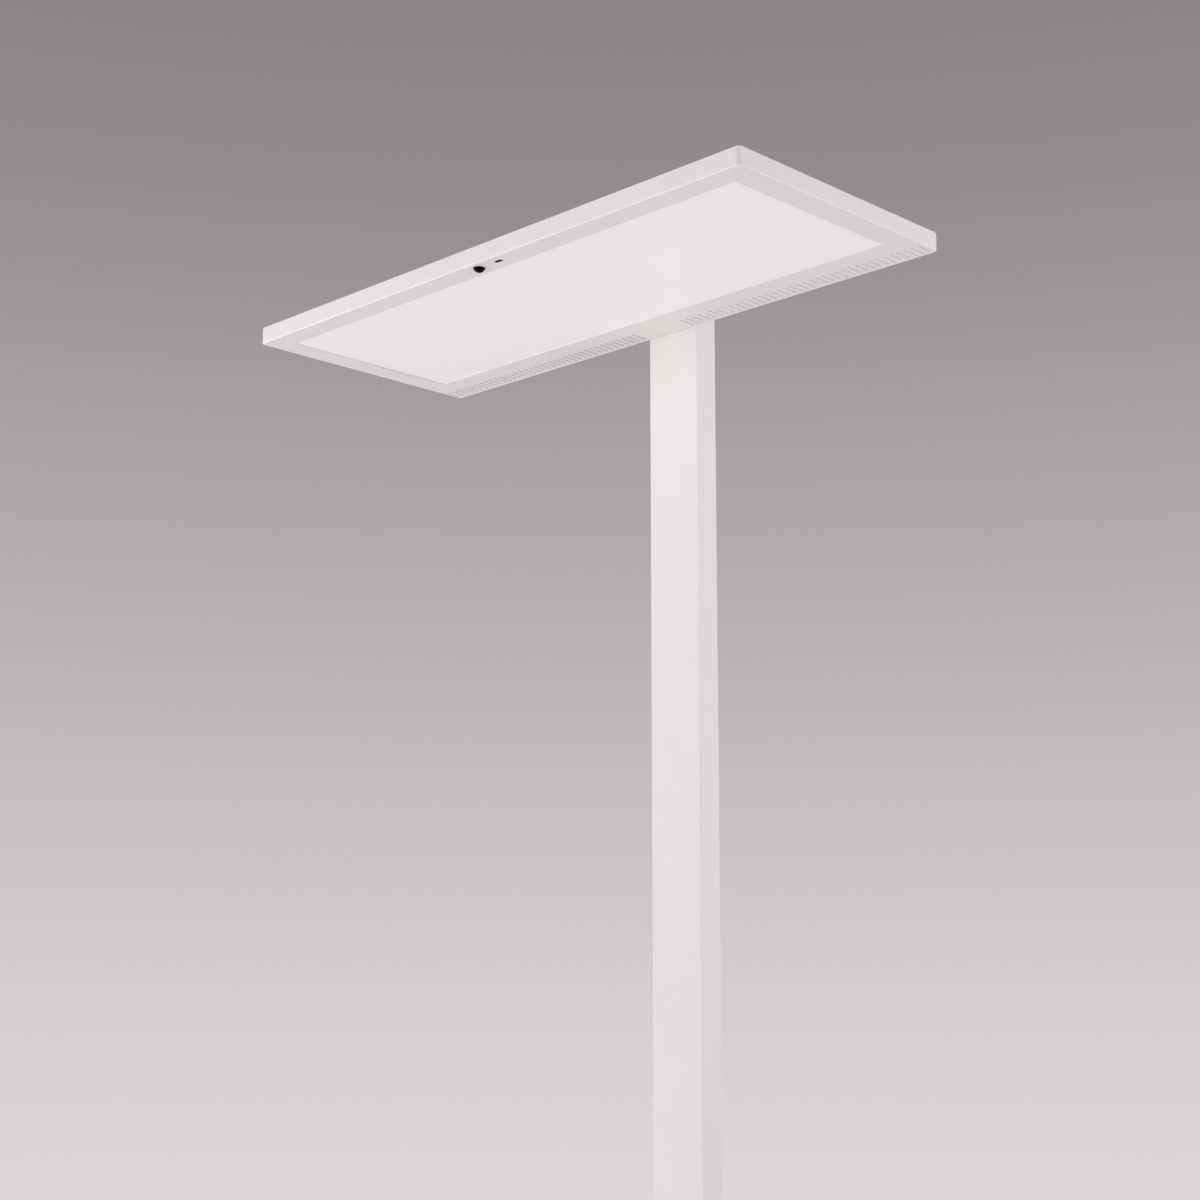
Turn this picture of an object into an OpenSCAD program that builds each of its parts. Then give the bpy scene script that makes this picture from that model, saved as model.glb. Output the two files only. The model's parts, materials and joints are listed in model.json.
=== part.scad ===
// Office floor lamp: a flat LED head on a rectangular column that stands on a steel plate.
// Millimetres. +Z is up, +X runs along the head, the column stands at the back, on the +Y side.
// The origin is on the floor, under the middle of the base plate.

/* [Overall] */
// Height from the floor to the top of the head
lamp_h = 1950; // [1600:10:2200]

/* [Head] */
// Length of the head, end to end
head_l = 710; // [690:5:900]
// Depth of the head, front to back
head_d = 298; // [290:2:380]
// Thickness of the head at its rim
head_t = 19; // [18.5:0.5:30]
// Radius of the head's four corners
head_corner_r = 5; // [4:0.5:10]
// Radius along the outer edges of the rim
rim_r = 1.4; // [0.4:0.1:1.5]
// Sheet thickness of the head's side walls
head_wall = 2; // [1.8:0.1:2.4]
// Sheet thickness of the bezel under the head
bezel_t = 1.2; // [1:0.1:2.4]
// Width of the bezel at the two ends
bezel_side = 28; // [26:1:60]
// Width of the bezel at the front, which holds the sensors
bezel_front = 26; // [25.5:0.5:45]
// Width of the bezel at the back, under the electronics
bezel_rear = 53; // [53:1:80]

/* [Vent slots] */
// Least distance from the last slot to the end wall
slot_end_gap = 1.5; // [1:0.5:200]
// Distance from one slot to the next
slot_pitch = 8.47; // [6:0.01:12]
// Width of a slot
slot_w = 4; // [2:0.1:4.6]
// Length of a slot, front to back
slot_l = 22; // [12:0.5:23]
// Distance from the slots to the back edge of the head
slot_edge = 5; // [4:0.5:7]
// Distance from the middle of the head to the first slot
slot_first = 35.7; // [35.5:0.1:60]

/* [Lid of the head] */
// Sheet thickness of the lid
lid_t = 1.5; // [1.2:0.1:2]
// Length of the lid's window for the light that goes up
up_window_l = 600; // [300:5:620]
// Depth of the lid's window
up_window_d = 150; // [80:2:160]
// Width of the ledge that carries the lid
ledge_w = 4; // [3:0.5:5]
// Thickness of the ledge
ledge_t = 1.5; // [1:0.1:2]
// Thickness of the screw tabs under the lid, with the ledge
tab_t = 3; // [2.5:0.1:3.5]

/* [Light engine] */
// Thickness of the opal panel under the head
panel_t = 2; // [1.5:0.1:2.5]
// How far the panel lies on the bezel, all round
panel_overlap = 4; // [3:0.5:4.5]
// Thickness of the light guide
guide_t = 3; // [2.5:0.1:3.5]
// Thickness of the white reflector sheet
reflector_t = 0.5; // [0.3:0.1:0.6]
// Thickness of the aluminium carrier sheet
carrier_t = 1.5; // [1:0.1:1.8]
// Thickness of an LED strip's board
strip_t = 1; // [0.8:0.1:1.2]
// Depth of an LED
chip_d = 0.8; // [0.6:0.1:0.9]
// Distance between LEDs along a strip
chip_pitch = 20; // [10:1:40]
// Thickness of the opal panel under the lid
up_panel_t = 2; // [1.5:0.1:2.2]
// How far the upper panel reaches past its window
up_panel_overlap = 8; // [4:1:10]
// Length of one of the four boards that light upwards
up_board_l = 280; // [120:5:290]
// Depth of one of those boards
up_board_d = 20; // [12:1:30]
// Thickness of a circuit board
board_t = 1.6; // [1:0.1:1.8]

/* [Sensors] */
// Distance from the front edge of the head to the sensors
sensor_inset = 11.4; // [11.2:0.1:11.6]
// Radius of the presence sensor's dome
dome_r = 6.25; // [5:0.05:6.3]
// How far the dome stands out under the head
dome_h = 4.5; // [3:0.1:5]
// Distance from the dome to the light sensor's window
window_x = 29; // [22:1:40]
// Length of the light sensor's window
window_l = 10; // [6:0.5:10.5]
// Width of the light sensor's window
window_w = 4.6; // [2.5:0.1:5]
// Depth of the sensor holder, front to back
holder_d = 14.6; // [13.6:0.1:14.6]

/* [Electronics] */
// Distance from the LED driver, which fills the right side, to the end wall
driver_end_gap = 11; // [11:1:130]
// Length of the control unit, on the left side
control_unit_l = 140; // [80:5:240]
// Depth of both boxes, front to back
box_d = 28; // [20:1:28]
// Height of both boxes
box_h = 11; // [8:0.5:11]
// Height of the posts that carry them over the vent slots
box_lift = 3; // [2:0.5:3.2]
// Thickness of the dust screens on the vent slots
screen_t = 0.8; // [0.4:0.1:1.5]

/* [Column] */
// Width of the column, seen from the front
col_w = 70; // [64:1:70]
// Depth of the column, front to back
col_d = 30; // [29:0.5:40]
// Wall of the column's profile
col_wall = 2.5; // [2:0.1:2.8]
// Radius of the column's long edges
col_corner_r = 0.5; // [0.3:0.1:3]
// Thickness of the cap on the column
cap_t = 2; // [1.5:0.1:3]

/* [Head bracket] */
// Width of the bracket's tongue, which goes into the head
tongue_w = 62; // [58:1:62]
// How far the tongue reaches into the head
tongue_reach = 40; // [36:1:41]
// Thickness of the tongue
tongue_t = 8; // [6:0.5:8]
// Height of the bracket's block inside the column
spigot_h = 90; // [80:5:150]
// Radius of the cable hole down through the block
cable_bore_r = 6.5; // [6:0.1:7]
// Radius of the studs that hold the tongue
stud_r = 2.5; // [2:0.1:2.5]

/* [Base] */
// Width of the base plate
base_w = 420; // [360:10:600]
// Depth of the base plate
base_d = 360; // [350:10:500]
// Thickness of the base plate
base_t = 8; // [6:0.5:12]
// Radius of the base plate's corners
base_corner_r = 12; // [4:1:40]
// Distance from the back of the column to the back edge of the base plate
col_inset = 20; // [10:1:40]
// Height of the glide pads under the base plate
pad_h = 3; // [2:0.5:6]
// Radius of a glide pad
pad_r = 14; // [8:1:20]
// Distance from a pad's middle to the edges of the base plate
pad_inset = 30; // [22:1:50]
// Height of the solid insert in the foot of the column
foot_h = 55; // [50:1:65]

/* [Controls] */
// Height of the two buttons' middle above the floor
control_z = 900; // [300:10:1200]
// Width of the control plate
plate_w = 24; // [22:1:30]
// Height of the control plate
plate_l = 68; // [66:1:90]
// How far the control plate stands out of the column
plate_t = 1.5; // [1:0.1:2.5]
// Distance from the middle of the plate to each button
button_z = 18; // [15.5:0.5:18]
// Radius of a button
button_r = 6; // [5:0.1:6.2]
// How far a button stands out of the plate
button_proud = 1.2; // [1:0.1:2]
// Travel of a button
button_travel = 0.8; // [0.4:0.1:0.9]

/* [Mains inlet] */
// Height of the inlet's middle above the floor
inlet_z = 100; // [95:1:140]
// Width of the inlet's flange
inlet_flange_w = 50; // [48:0.5:54]
// Height of the inlet's flange
inlet_flange_h = 24; // [22:0.5:28]
// Thickness of the inlet's flange
inlet_flange_t = 2.5; // [2:0.1:3]
// Depth of the inlet's body, from the back of the column inwards
inlet_body_d = 22; // [20:0.5:23]
// Depth of the socket, from the mouth inwards
socket_d = 17; // [15:0.5:18]

/* [Cables] */
// Radius of the supply cable
supply_r = 3; // [2:0.1:3]
// Radius of the control cable
signal_r = 1.5; // [1:0.1:1.5]

/* [Screws and fits] */
// Radius of the small screws, in the head and the inlet
small_screw_r = 1.5; // [1:0.1:1.5]
// Radius of the screws in the foot of the column
foot_screw_r = 3; // [2:0.1:3.2]
// Radius of the screws at the back of the column
col_screw_r = 2.5; // [1.5:0.1:2.6]
// Gap around a piece that slips into a pocket
slip_gap = 0.3; // [0.15:0.05:0.4]
// Gap around a screw in a clearance hole
hole_gap = 0.25; // [0.1:0.05:0.4]
// Gap between a screw and its tapped hole
thread_gap = 0.05; // [0.02:0.01:0.1]
// Gap around a button in its guide
button_gap = 0.25; // [0.15:0.05:0.3]

/* [Hidden] */
round_fn = 48;
tiny = 0.01;

// Levels, from the floor up
base_z0 = pad_h;
base_z1 = base_z0 + base_t;
head_z0 = lamp_h - head_t;
floor_z = head_z0 + bezel_t;
lid_z0 = lamp_h - lid_t;
col_z1 = lamp_h - cap_t;

// Front and back planes
col_y1 = base_d / 2 - col_inset;
col_y0 = col_y1 - col_d;
col_mid_y = (col_y0 + col_y1) / 2;
head_y1 = col_y0;
head_y0 = head_y1 - head_d;
head_mid_y = (head_y0 + head_y1) / 2;
inner_x = head_l / 2 - head_wall;
inner_y0 = head_y0 + head_wall;
inner_y1 = head_y1 - head_wall;
// How far in the bezel and the ledge begin, inside the rim's wall
weld_inset = head_wall * 0.75;
slot_count = floor((inner_x - slot_end_gap - slot_w / 2 - slot_first) / slot_pitch) + 1;

// The bezel's window and what lies on it
win_x = head_l / 2 - bezel_side;
win_y0 = head_y0 + bezel_front;
win_y1 = head_y1 - bezel_rear;
win_mid_y = (win_y0 + win_y1) / 2;
panel_x = win_x + panel_overlap;
panel_y0 = win_y0 - panel_overlap;
panel_y1 = win_y1 + panel_overlap;
guide_inset = 0.5;
guide_x = panel_x - guide_inset;
guide_y0 = panel_y0 + guide_inset;
guide_y1 = panel_y1 - guide_inset;
guide_z0 = floor_z + panel_t;
reflector_z0 = guide_z0 + guide_t;
carrier_z0 = reflector_z0 + reflector_t;
carrier_z1 = carrier_z0 + carrier_t;

// LED strips along the light guide's long edges
chip_gap = 0.1;
strip_clear = 0.4;
chip_w = 3;
chip_h = 1.2;
strip_y0 = guide_y0 - chip_gap - chip_d - strip_t;
strip_y1 = guide_y1 + chip_gap + chip_d + strip_t;
carrier_y0 = strip_y0 - carrier_t;
carrier_y1 = strip_y1 + carrier_t;

// Posts for the carrier sheet
post_r = 3.5;
post_x = (panel_x + inner_x) / 2;
post_end = 20;
post_ys = [guide_y0 + post_end, win_mid_y, guide_y1 - post_end];
carrier_ear = 5;
carrier_x = post_x + carrier_ear;
pan_head_r = 2.8;
pan_head_h = 2;
screw_tip = 0.8;

// Boards that light upwards
up_row_y = 30;
up_board_gap = 20;
up_chip = 3;
up_chip_h = 0.7;
up_panel_x = up_window_l / 2 + up_panel_overlap;
up_panel_y = up_window_d / 2 + up_panel_overlap;

// Tabs that take the lid's screws
tab_w = 14;
tab_d = 10;
tab_hole = 6;
tab_end = 20;
tab_inner_x = head_l / 6;
tab_outer_x = head_l / 2 - tab_end;
tab_xs = [-tab_outer_x, -tab_inner_x, tab_inner_x, tab_outer_x];
sink_r = 3;

// Sensors
sensor_y = head_y0 + sensor_inset;
dome_flange = 0.75;
lens_flange_t = 1;
lens_wall = 0.8;
window_flange = 1.5;
holder_x0 = -12;
holder_x1 = window_x + 11;
holder_h = 3.5;
holder_foot = 3.5;
holder_z0 = floor_z + lens_flange_t;
holder_z1 = holder_z0 + holder_h;
sensor_board_t = 1.2;
sensor_pin_r = 1.2;
sensor_nut_r = 2.9;
sensor_nut_h = 1.8;
sensor_can_r = 4.6;
sensor_can_gap = 0.6;
light_chip = [3, 3, 2];
sensor_plug_x = 12;
sensor_plug_w = 8;
sensor_plug_d = 6;
sensor_plug_h = 3;

// Electronics behind the light engine
box_x = 62;
box_front = 42;
box_y0 = head_y1 - box_front;
box_y1 = box_y0 + box_d;
box_z0 = floor_z + box_lift;
box_z1 = box_z0 + box_h;
lug_l = 10;
lug_t = 2;
lug_y0 = box_y0 + 0.5;
lug_d = 11;
lug_mid_y = lug_y0 + lug_d / 2;
driver_l = inner_x - driver_end_gap - lug_l - box_x;
screen_edge = 1.2;
box_post_r = 3;
box_post_xs = [
    box_x - lug_l / 2, box_x + driver_l + lug_l / 2,
    lug_l / 2 - box_x, -box_x - control_unit_l - lug_l / 2
];

// The bracket between the column and the head
in_w = col_w - 2 * col_wall;
in_y0 = col_y0 + col_wall;
in_y1 = col_y1 - col_wall;
spigot_w = in_w - 2 * slip_gap;
spigot_y0 = in_y0 + slip_gap;
spigot_y1 = in_y1 - slip_gap;
tongue_y0 = inner_y1 - tongue_reach;
tongue_z1 = floor_z + tongue_t;
spigot_z0 = tongue_z1 - spigot_h;
stud_x = 20;
stud_edge = 10;
stud_ys = [tongue_y0 + stud_edge, inner_y1 - stud_edge];
stud_nut_r = 4.6;
stud_nut_h = 4;
cable_shift = 2;
cable_y = col_mid_y + cable_shift;
cable_way_h = 15;

// Screws at the back of the column
col_screw_x = 20;
col_screw_end = 20;
foot_z1 = base_z1 + foot_h;
foot_screw_z = foot_z1 - col_screw_end;
bracket_screw_zs = [spigot_z0 + col_screw_end, spigot_z0 + spigot_h - col_screw_end];
col_screw_len = 12;
button_head_r = 4.75;
button_head_h = 2.75;

// Screws in the foot of the column
foot_bolt_x = 22;
foot_bolt_y = 6.5;
foot_bolt_depth = 24;
foot_bolt_tip = 2;
foot_head_r = foot_screw_r + 3.2;

// Controls on the front of the column
plug_inset = 2.2;
plug_w = plate_w - 2 * plug_inset;
plug_l = plate_l - 2 * plug_inset;
plug_y1 = col_y0 + col_wall + 1.5;
plate_y0 = col_y0 - plate_t;
clip_h = 16;
clip_reach = 1;
button_flange = 1;
button_flange_t = 1.2;
button_seat = 0.3;
button_y0 = plate_y0 - button_proud;
button_y1 = plug_y1 + button_seat + button_flange_t;
press_gap = 0.1;
switch_tip_y = button_y1 + button_travel + press_gap;
switch_tip_r = 1.75;
switch_tip_h = 0.6;
switch_body_h = 3;
switch_w = 6.2;
board_y0 = switch_tip_y + switch_tip_h + switch_body_h;
board_y1 = board_y0 + board_t;
board_w = 17;
board_l = 61;
board_corner_r = 2;
board_post_r = 2.2;
board_post_z = 27.6;
board_screw_r = 1;
board_screw_depth = 4;
board_screw_head_r = 1.9;
board_screw_head_h = 1.2;
light_r = 1.5;
socket_x = -6.5;
socket_z = 24;
socket_size = [4, 4, 6];

// Mains inlet at the back of the column
inlet_w = 27;
inlet_h = 20;
inlet_corner_r = 3;
inlet_screw_x = 20;
inlet_screw_len = 5;
mouth_w = 24.2;
mouth_h = 16.4;
mouth_chamfer = 4.5;
mouth_y0 = col_y1 + inlet_flange_t - socket_d;
inlet_y0 = col_y1 - inlet_body_d;
pin_w = 2;
pin_h = 4;
pin_x = 7;
pin_tip = 4.5;
pin_tail = 4;

// Routes of the two cables: corner points, rounded where they turn
supply_x = 2;
supply_bend = 12;
supply_rise = 20;
supply_sway = 30;
signal_x = -3;
signal_bend = 9;
signal_rise = 12;
signal_sway = 44;
drop_x0 = box_x - 20;
drop_x1 = box_x - 9;
cross_y = (stud_ys[0] + stud_ys[1]) / 2;
supply_top = tongue_z1 + supply_r + slip_gap;
signal_top = tongue_z1 + signal_r + slip_gap;
box_mid_z = (box_z0 + box_z1) / 2;
supply_start = [supply_x, inlet_y0 + inlet_body_d / 4, inlet_z + inlet_h / 2];
signal_start = [socket_x, board_y1 + socket_size[1] / 2, control_z + socket_z];
supply_route = [
    supply_start,
    supply_start + [0, 0, supply_rise],
    [supply_x, cable_y, supply_start[2] + supply_rise + supply_sway],
    [supply_x, cable_y, supply_top],
    [supply_x, cross_y, supply_top],
    [drop_x0, cross_y, supply_top],
    [drop_x1, cross_y, box_mid_z],
    [box_x, cross_y, box_mid_z]
];
signal_route = [
    signal_start,
    signal_start + [0, 0, signal_rise],
    [signal_x, cable_y, signal_start[2] + signal_rise + signal_sway],
    [signal_x, cable_y, signal_top],
    [signal_x, cross_y, signal_top],
    [-drop_x0, cross_y, signal_top],
    [-drop_x1, cross_y, box_mid_z],
    [-box_x, cross_y, box_mid_z]
];

// Outlines

function arc(c, r, a0, a1, n) = [
    for (i = [0:n])
    let (a = a0 + (a1 - a0) * i / n)
    c + r * [cos(a), sin(a)]
];

function rounded(w, h, r, n = 6) = concat(
    arc([w / 2 - r, h / 2 - r], r, 0, 90, n),
    arc([r - w / 2, h / 2 - r], r, 90, 180, n),
    arc([r - w / 2, r - h / 2], r, 180, 270, n),
    arc([w / 2 - r, r - h / 2], r, 270, 360, n)
);

// A sheet between two corners, given in X and Y
module sheet(x0, y0, x1, y1, z0, z1) {
    translate([x0, y0, z0]) cube([x1 - x0, y1 - y0, z1 - z0]);
}

// A sheet that reaches as far to the left as to the right
module centred_sheet(x, y0, y1, z0, z1) {
    sheet(-x, y0, x, y1, z0, z1);
}

// An outline in X and Z, extruded from one Y to another
module along_y(y0, y1) {
    translate([0, y1, 0]) rotate([90, 0, 0]) linear_extrude(y1 - y0) children();
}

// A turned shape whose axis runs along +Y from a point
module turned_y(p) {
    translate(p) rotate([-90, 0, 0]) children();
}

module rod(r, h) {
    cylinder(r = r, h = h, $fn = round_fn);
}

// Screws, drawn with the underside of the head at z = 0 and the shank below it

module pan_screw(r, head_r, head_h, length) {
    difference() {
        union() {
            rod(head_r, head_h);
            translate([0, 0, -length]) rod(r, length + tiny);
        }
        translate([0, 0, head_h / 2]) cylinder(r = head_r / 2, h = head_h, $fn = 6);
    }
}

// A countersunk screw, drawn with its flat top at z = 0
module sunk_screw(r, head_r, length) {
    difference() {
        union() {
            translate([0, 0, r - head_r]) cylinder(r1 = r, r2 = head_r, h = head_r - r, $fn = round_fn);
            translate([0, 0, -length]) rod(r, length - head_r + r + tiny);
        }
        translate([0, 0, -head_r / 3]) cylinder(r = head_r / 2, h = head_r, $fn = 6);
    }
}

module sunk_hole(r, head_r, depth) {
    translate([0, 0, r - head_r]) cylinder(r1 = r, r2 = head_r, h = head_r - r + tiny, $fn = round_fn);
    translate([0, 0, -depth]) rod(r, depth);
}

module nut(r, hole_r, h) {
    difference() {
        cylinder(r = r, h = h, $fn = 6);
        translate([0, 0, -tiny]) rod(hole_r, h + 2 * tiny);
    }
}

// Cables: a tube swept along a route whose corners are rounded

function unit(v) = v / norm(v);

function corner_points(a, p, b, reach, n) =
    let (t = min(reach, norm(a - p) * 0.45, norm(b - p) * 0.45))
    let (s = p + t * unit(a - p), e = p + t * unit(b - p))
    [for (i = [0:n]) let (u = i / n) (1 - u) * (1 - u) * s + 2 * u * (1 - u) * p + u * u * e];

function rounded_route(p, reach, n) = concat(
    [p[0]],
    [for (i = [1:len(p) - 2]) each corner_points(p[i - 1], p[i], p[i + 1], reach, n)],
    [p[len(p) - 1]]
);

function heading(p, i) = unit(p[min(i + 1, len(p) - 1)] - p[max(i - 1, 0)]);

function side(p, i) = i == 0
    ? unit(cross(heading(p, 0), [0, 1, 0]))
    : let (s = side(p, i - 1), t = heading(p, i)) unit(s - (s * t) * t);

function ring(p, i, r, n) =
    let (s = side(p, i), u = cross(heading(p, i), s))
    [for (k = [0:n - 1]) p[i] + r * (cos((k + 0.5) * 360 / n) * s + sin((k + 0.5) * 360 / n) * u)];

module cable(route, r, reach, n = 8) {
    p = rounded_route(route, reach, 5);
    rings = len(p);
    points = [for (i = [0:rings - 1]) each ring(p, i, r, n)];
    skin = [
        for (i = [0:rings - 2], k = [0:n - 1])
        let (a = i * n + k, b = i * n + (k + 1) % n)
        each [[a, a + n, b], [b, a + n, b + n]]
    ];
    first = [for (k = [1:n - 2]) [0, k, k + 1]];
    last_ring = (rings - 1) * n;
    last = [for (k = [1:n - 2]) [last_ring, last_ring + k + 1, last_ring + k]];
    polyhedron(points, concat(skin, first, last), convexity = 6);
}

// Base

module glide_pads() {
    color("#2b2b2d")
    for (x = [-1, 1], y = [-1, 1])
        translate([x * (base_w / 2 - pad_inset), y * (base_d / 2 - pad_inset), 0])
        rod(pad_r, pad_h);
}

// Places of the four bolts that hold the column on the plate
module at_foot_bolts() {
    for (x = [-1, 1], y = [-1, 1])
        translate([x * foot_bolt_x, col_mid_y + y * foot_bolt_y, base_z0])
        rotate([180, 0, 0]) children();
}

module base_plate() {
    color("#e9e6e4")
    difference() {
        translate([0, 0, base_z0])
            linear_extrude(base_t)
            polygon(rounded(base_w, base_d, base_corner_r));
        at_foot_bolts()
            sunk_hole(foot_screw_r + hole_gap, foot_head_r + hole_gap, base_t + 1);
    }
}

module base_screws() {
    color("#b9bbbe")
    at_foot_bolts()
        translate([0, 0, thread_gap - hole_gap])
        sunk_screw(foot_screw_r, foot_head_r, base_t + foot_bolt_depth - foot_bolt_tip);
}

module foot_insert() {
    color("#c3c5c8")
    difference() {
        centred_sheet(spigot_w / 2, spigot_y0, spigot_y1, base_z1, foot_z1);
        at_foot_bolts()
            translate([0, 0, -base_t - foot_bolt_depth])
            rod(foot_screw_r + thread_gap, foot_bolt_depth + 1);
        at_col_screws([foot_screw_z]) col_thread();
    }
}

// Column

// Places of the screws at the back of the column, with the shank running forwards
module at_col_screws(zs) {
    for (x = [-1, 1], z = zs)
        translate([x * col_screw_x, col_y1, z]) rotate([-90, 0, 0]) children();
}

// The tapped hole for one of them, in the insert or the bracket
module col_thread() {
    translate([0, 0, -col_d / 2]) rod(col_screw_r + thread_gap, col_d / 2);
}

module at_inlet_screws() {
    for (x = [-1, 1])
        translate([x * inlet_screw_x, col_y1, inlet_z]) rotate([-90, 0, 0]) children();
}

// A hole through the column's back wall
module wall_hole(r) {
    translate([0, 0, -col_wall - 1]) rod(r, col_wall + 2);
}

module column_tube() {
    notch_x = tongue_w / 2 + slip_gap;
    inlet_x = inlet_w / 2 + slip_gap;
    inlet_half_h = inlet_h / 2 + slip_gap;
    color("#edebe9")
    difference() {
        translate([0, col_mid_y, base_z1])
        linear_extrude(col_z1 - base_z1)
        difference() {
            polygon(rounded(col_w, col_d, col_corner_r));
            square([in_w, col_d - 2 * col_wall], center = true);
        }
        // Notch for the bracket's tongue, open at the top
        centred_sheet(notch_x, col_y0 - 1, in_y0 + 1, floor_z - slip_gap, col_z1 + 1);
        // Cut-out for the controls
        along_y(col_y0 - 1, in_y0 + 1)
            translate([0, control_z]) stadium(plug_w + 2 * slip_gap, plug_l + 2 * slip_gap);
        // Cut-out for the mains inlet
        centred_sheet(inlet_x, in_y1 - 1, col_y1 + 1, inlet_z - inlet_half_h, inlet_z + inlet_half_h);
        at_col_screws([foot_screw_z, each bracket_screw_zs]) wall_hole(col_screw_r + hole_gap);
        at_inlet_screws() wall_hole(small_screw_r + thread_gap);
    }
}

module column_cap() {
    clip_t = 2;
    clip_l = 6;
    color("#edebe9") {
        translate([0, col_mid_y, col_z1]) linear_extrude(cap_t) polygon(rounded(col_w, col_d, col_corner_r));
        for (x = [-1, 1])
            translate([x * (in_w / 2 - slip_gap - clip_t / 2), col_mid_y, col_z1 - clip_l / 2])
            cube([clip_t, col_d / 2, clip_l + tiny], center = true);
    }
}

module column_screws() {
    color("#b9bbbe")
    at_col_screws([foot_screw_z, each bracket_screw_zs])
        pan_screw(col_screw_r, button_head_r, button_head_h, col_screw_len);
}

// Mains inlet

// Mouth of the socket, with its two upper corners cut off
module mouth() {
    w = mouth_w / 2;
    h = mouth_h / 2;
    polygon([
        [-w, -h], [w, -h], [w, h - mouth_chamfer],
        [w - mouth_chamfer, h], [mouth_chamfer - w, h], [-w, h - mouth_chamfer]
    ]);
}

module inlet_pin_shapes(grow) {
    size = [pin_w + 2 * grow, inlet_body_d + inlet_flange_t - pin_tail - pin_tip, pin_h + 2 * grow];
    for (p = [[-pin_x, -pin_h / 2], [0, pin_h / 2], [pin_x, -pin_h / 2]])
        translate([p[0] - size[0] / 2, inlet_y0 + pin_tail, inlet_z + p[1] - size[2] / 2])
        cube(size);
}

module inlet_housing() {
    color("#242426")
    difference() {
        union() {
            along_y(col_y1, col_y1 + inlet_flange_t)
                translate([0, inlet_z]) polygon(rounded(inlet_flange_w, inlet_flange_h, inlet_corner_r));
            centred_sheet(inlet_w / 2, inlet_y0, col_y1 + tiny, inlet_z - inlet_h / 2, inlet_z + inlet_h / 2);
        }
        along_y(mouth_y0, col_y1 + inlet_flange_t + 1) translate([0, inlet_z]) mouth();
        inlet_pin_shapes(thread_gap);
        at_inlet_screws()
            translate([0, 0, inlet_flange_t])
            sunk_hole(small_screw_r + hole_gap, small_screw_r * 2, inlet_flange_t + 1);
    }
}

module inlet_pins() {
    color("#c9b26a") inlet_pin_shapes(0);
}

module inlet_screws() {
    color("#b9bbbe")
    at_inlet_screws()
        translate([0, 0, inlet_flange_t - tiny])
        sunk_screw(small_screw_r, small_screw_r * 2 - hole_gap, inlet_flange_t + inlet_screw_len);
}

// Controls

module at_buttons() {
    for (z = [-1, 1]) translate([0, 0, control_z + z * button_z]) children();
}

module at_board_posts() {
    for (z = [-1, 1]) translate([0, 0, control_z + z * board_post_z]) children();
}

module stadium(w, l) {
    polygon(concat(
        arc([0, (l - w) / 2], w / 2, 0, 180, 16),
        arc([0, (w - l) / 2], w / 2, 180, 360, 16)
    ));
}

module control_plate() {
    clip_x = plug_w / 2 + clip_reach;
    through = plug_y1 - plate_y0 + 2;
    color("#f1f0ee")
    difference() {
        union() {
            along_y(plate_y0, col_y0) translate([0, control_z]) stadium(plate_w, plate_l);
            along_y(col_y0 - tiny, plug_y1) translate([0, control_z]) stadium(plug_w, plug_l);
            // Snap hooks behind the column's wall, on both sides
            translate([0, 0, control_z])
                centred_sheet(clip_x, in_y0 + press_gap, plug_y1, -clip_h / 2, clip_h / 2);
            at_board_posts()
                turned_y([0, plug_y1 - tiny, 0]) rod(board_post_r, board_y0 - plug_y1 + tiny);
        }
        at_buttons() turned_y([0, plate_y0 - 1, 0]) rod(button_r + button_gap, through);
        turned_y([0, plate_y0 - 1, control_z]) rod(light_r + press_gap, through);
        at_board_posts()
            turned_y([0, board_y0 - board_screw_depth - 1, 0])
            rod(board_screw_r + thread_gap, board_screw_depth + 2);
    }
}

// One button: a crowned cap, a guided stem and the collar that keeps it in
module button(z) {
    edge = 0.5;
    length = button_y1 - button_y0;
    turned_y([0, button_y0, z])
    rotate_extrude($fn = round_fn)
    polygon([
        [0, 0], [button_r - 2 * edge, 0], [button_r - edge / 2, edge / 2], [button_r, 1.5 * edge],
        [button_r, length - button_flange_t], [button_r + button_flange, length - button_flange_t],
        [button_r + button_flange, length], [0, length]
    ]);
}

module button_up() {
    color("#e4e2df") button(control_z + button_z);
}

module button_down() {
    color("#e4e2df") button(control_z - button_z);
}

module status_light() {
    color("#d9ead6") turned_y([0, plate_y0, control_z]) rod(light_r, board_y0 - plate_y0);
}

module button_board() {
    half_w = switch_w / 2;
    color("#2f6b46")
    difference() {
        union() {
            along_y(board_y0, board_y1)
                translate([0, control_z]) polygon(rounded(board_w, board_l, board_corner_r, 3));
            at_buttons() {
                centred_sheet(half_w, board_y0 - switch_body_h, board_y0 + tiny, -half_w, half_w);
                turned_y([0, switch_tip_y, 0]) rod(switch_tip_r, switch_tip_h + tiny);
            }
            // Socket for the signal cable
            translate([socket_x - socket_size[0] / 2, board_y1 - tiny, control_z + socket_z - socket_size[2]])
                cube(socket_size);
        }
        at_board_posts() turned_y([0, board_y0 - 1, 0]) rod(board_screw_r + hole_gap, board_t + 2);
    }
}

module button_board_screws() {
    color("#b9bbbe")
    at_board_posts()
        turned_y([0, board_y1, 0])
        pan_screw(board_screw_r, board_screw_head_r, board_screw_head_h, board_t + board_screw_depth);
}

// Cables that run inside the column

module supply_cable() {
    color("#1f1f21") cable(supply_route, supply_r, supply_bend);
}

module signal_cable() {
    color("#d8d8d6") cable(signal_route, signal_r, signal_bend);
}

// Bracket between the column and the head

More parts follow.
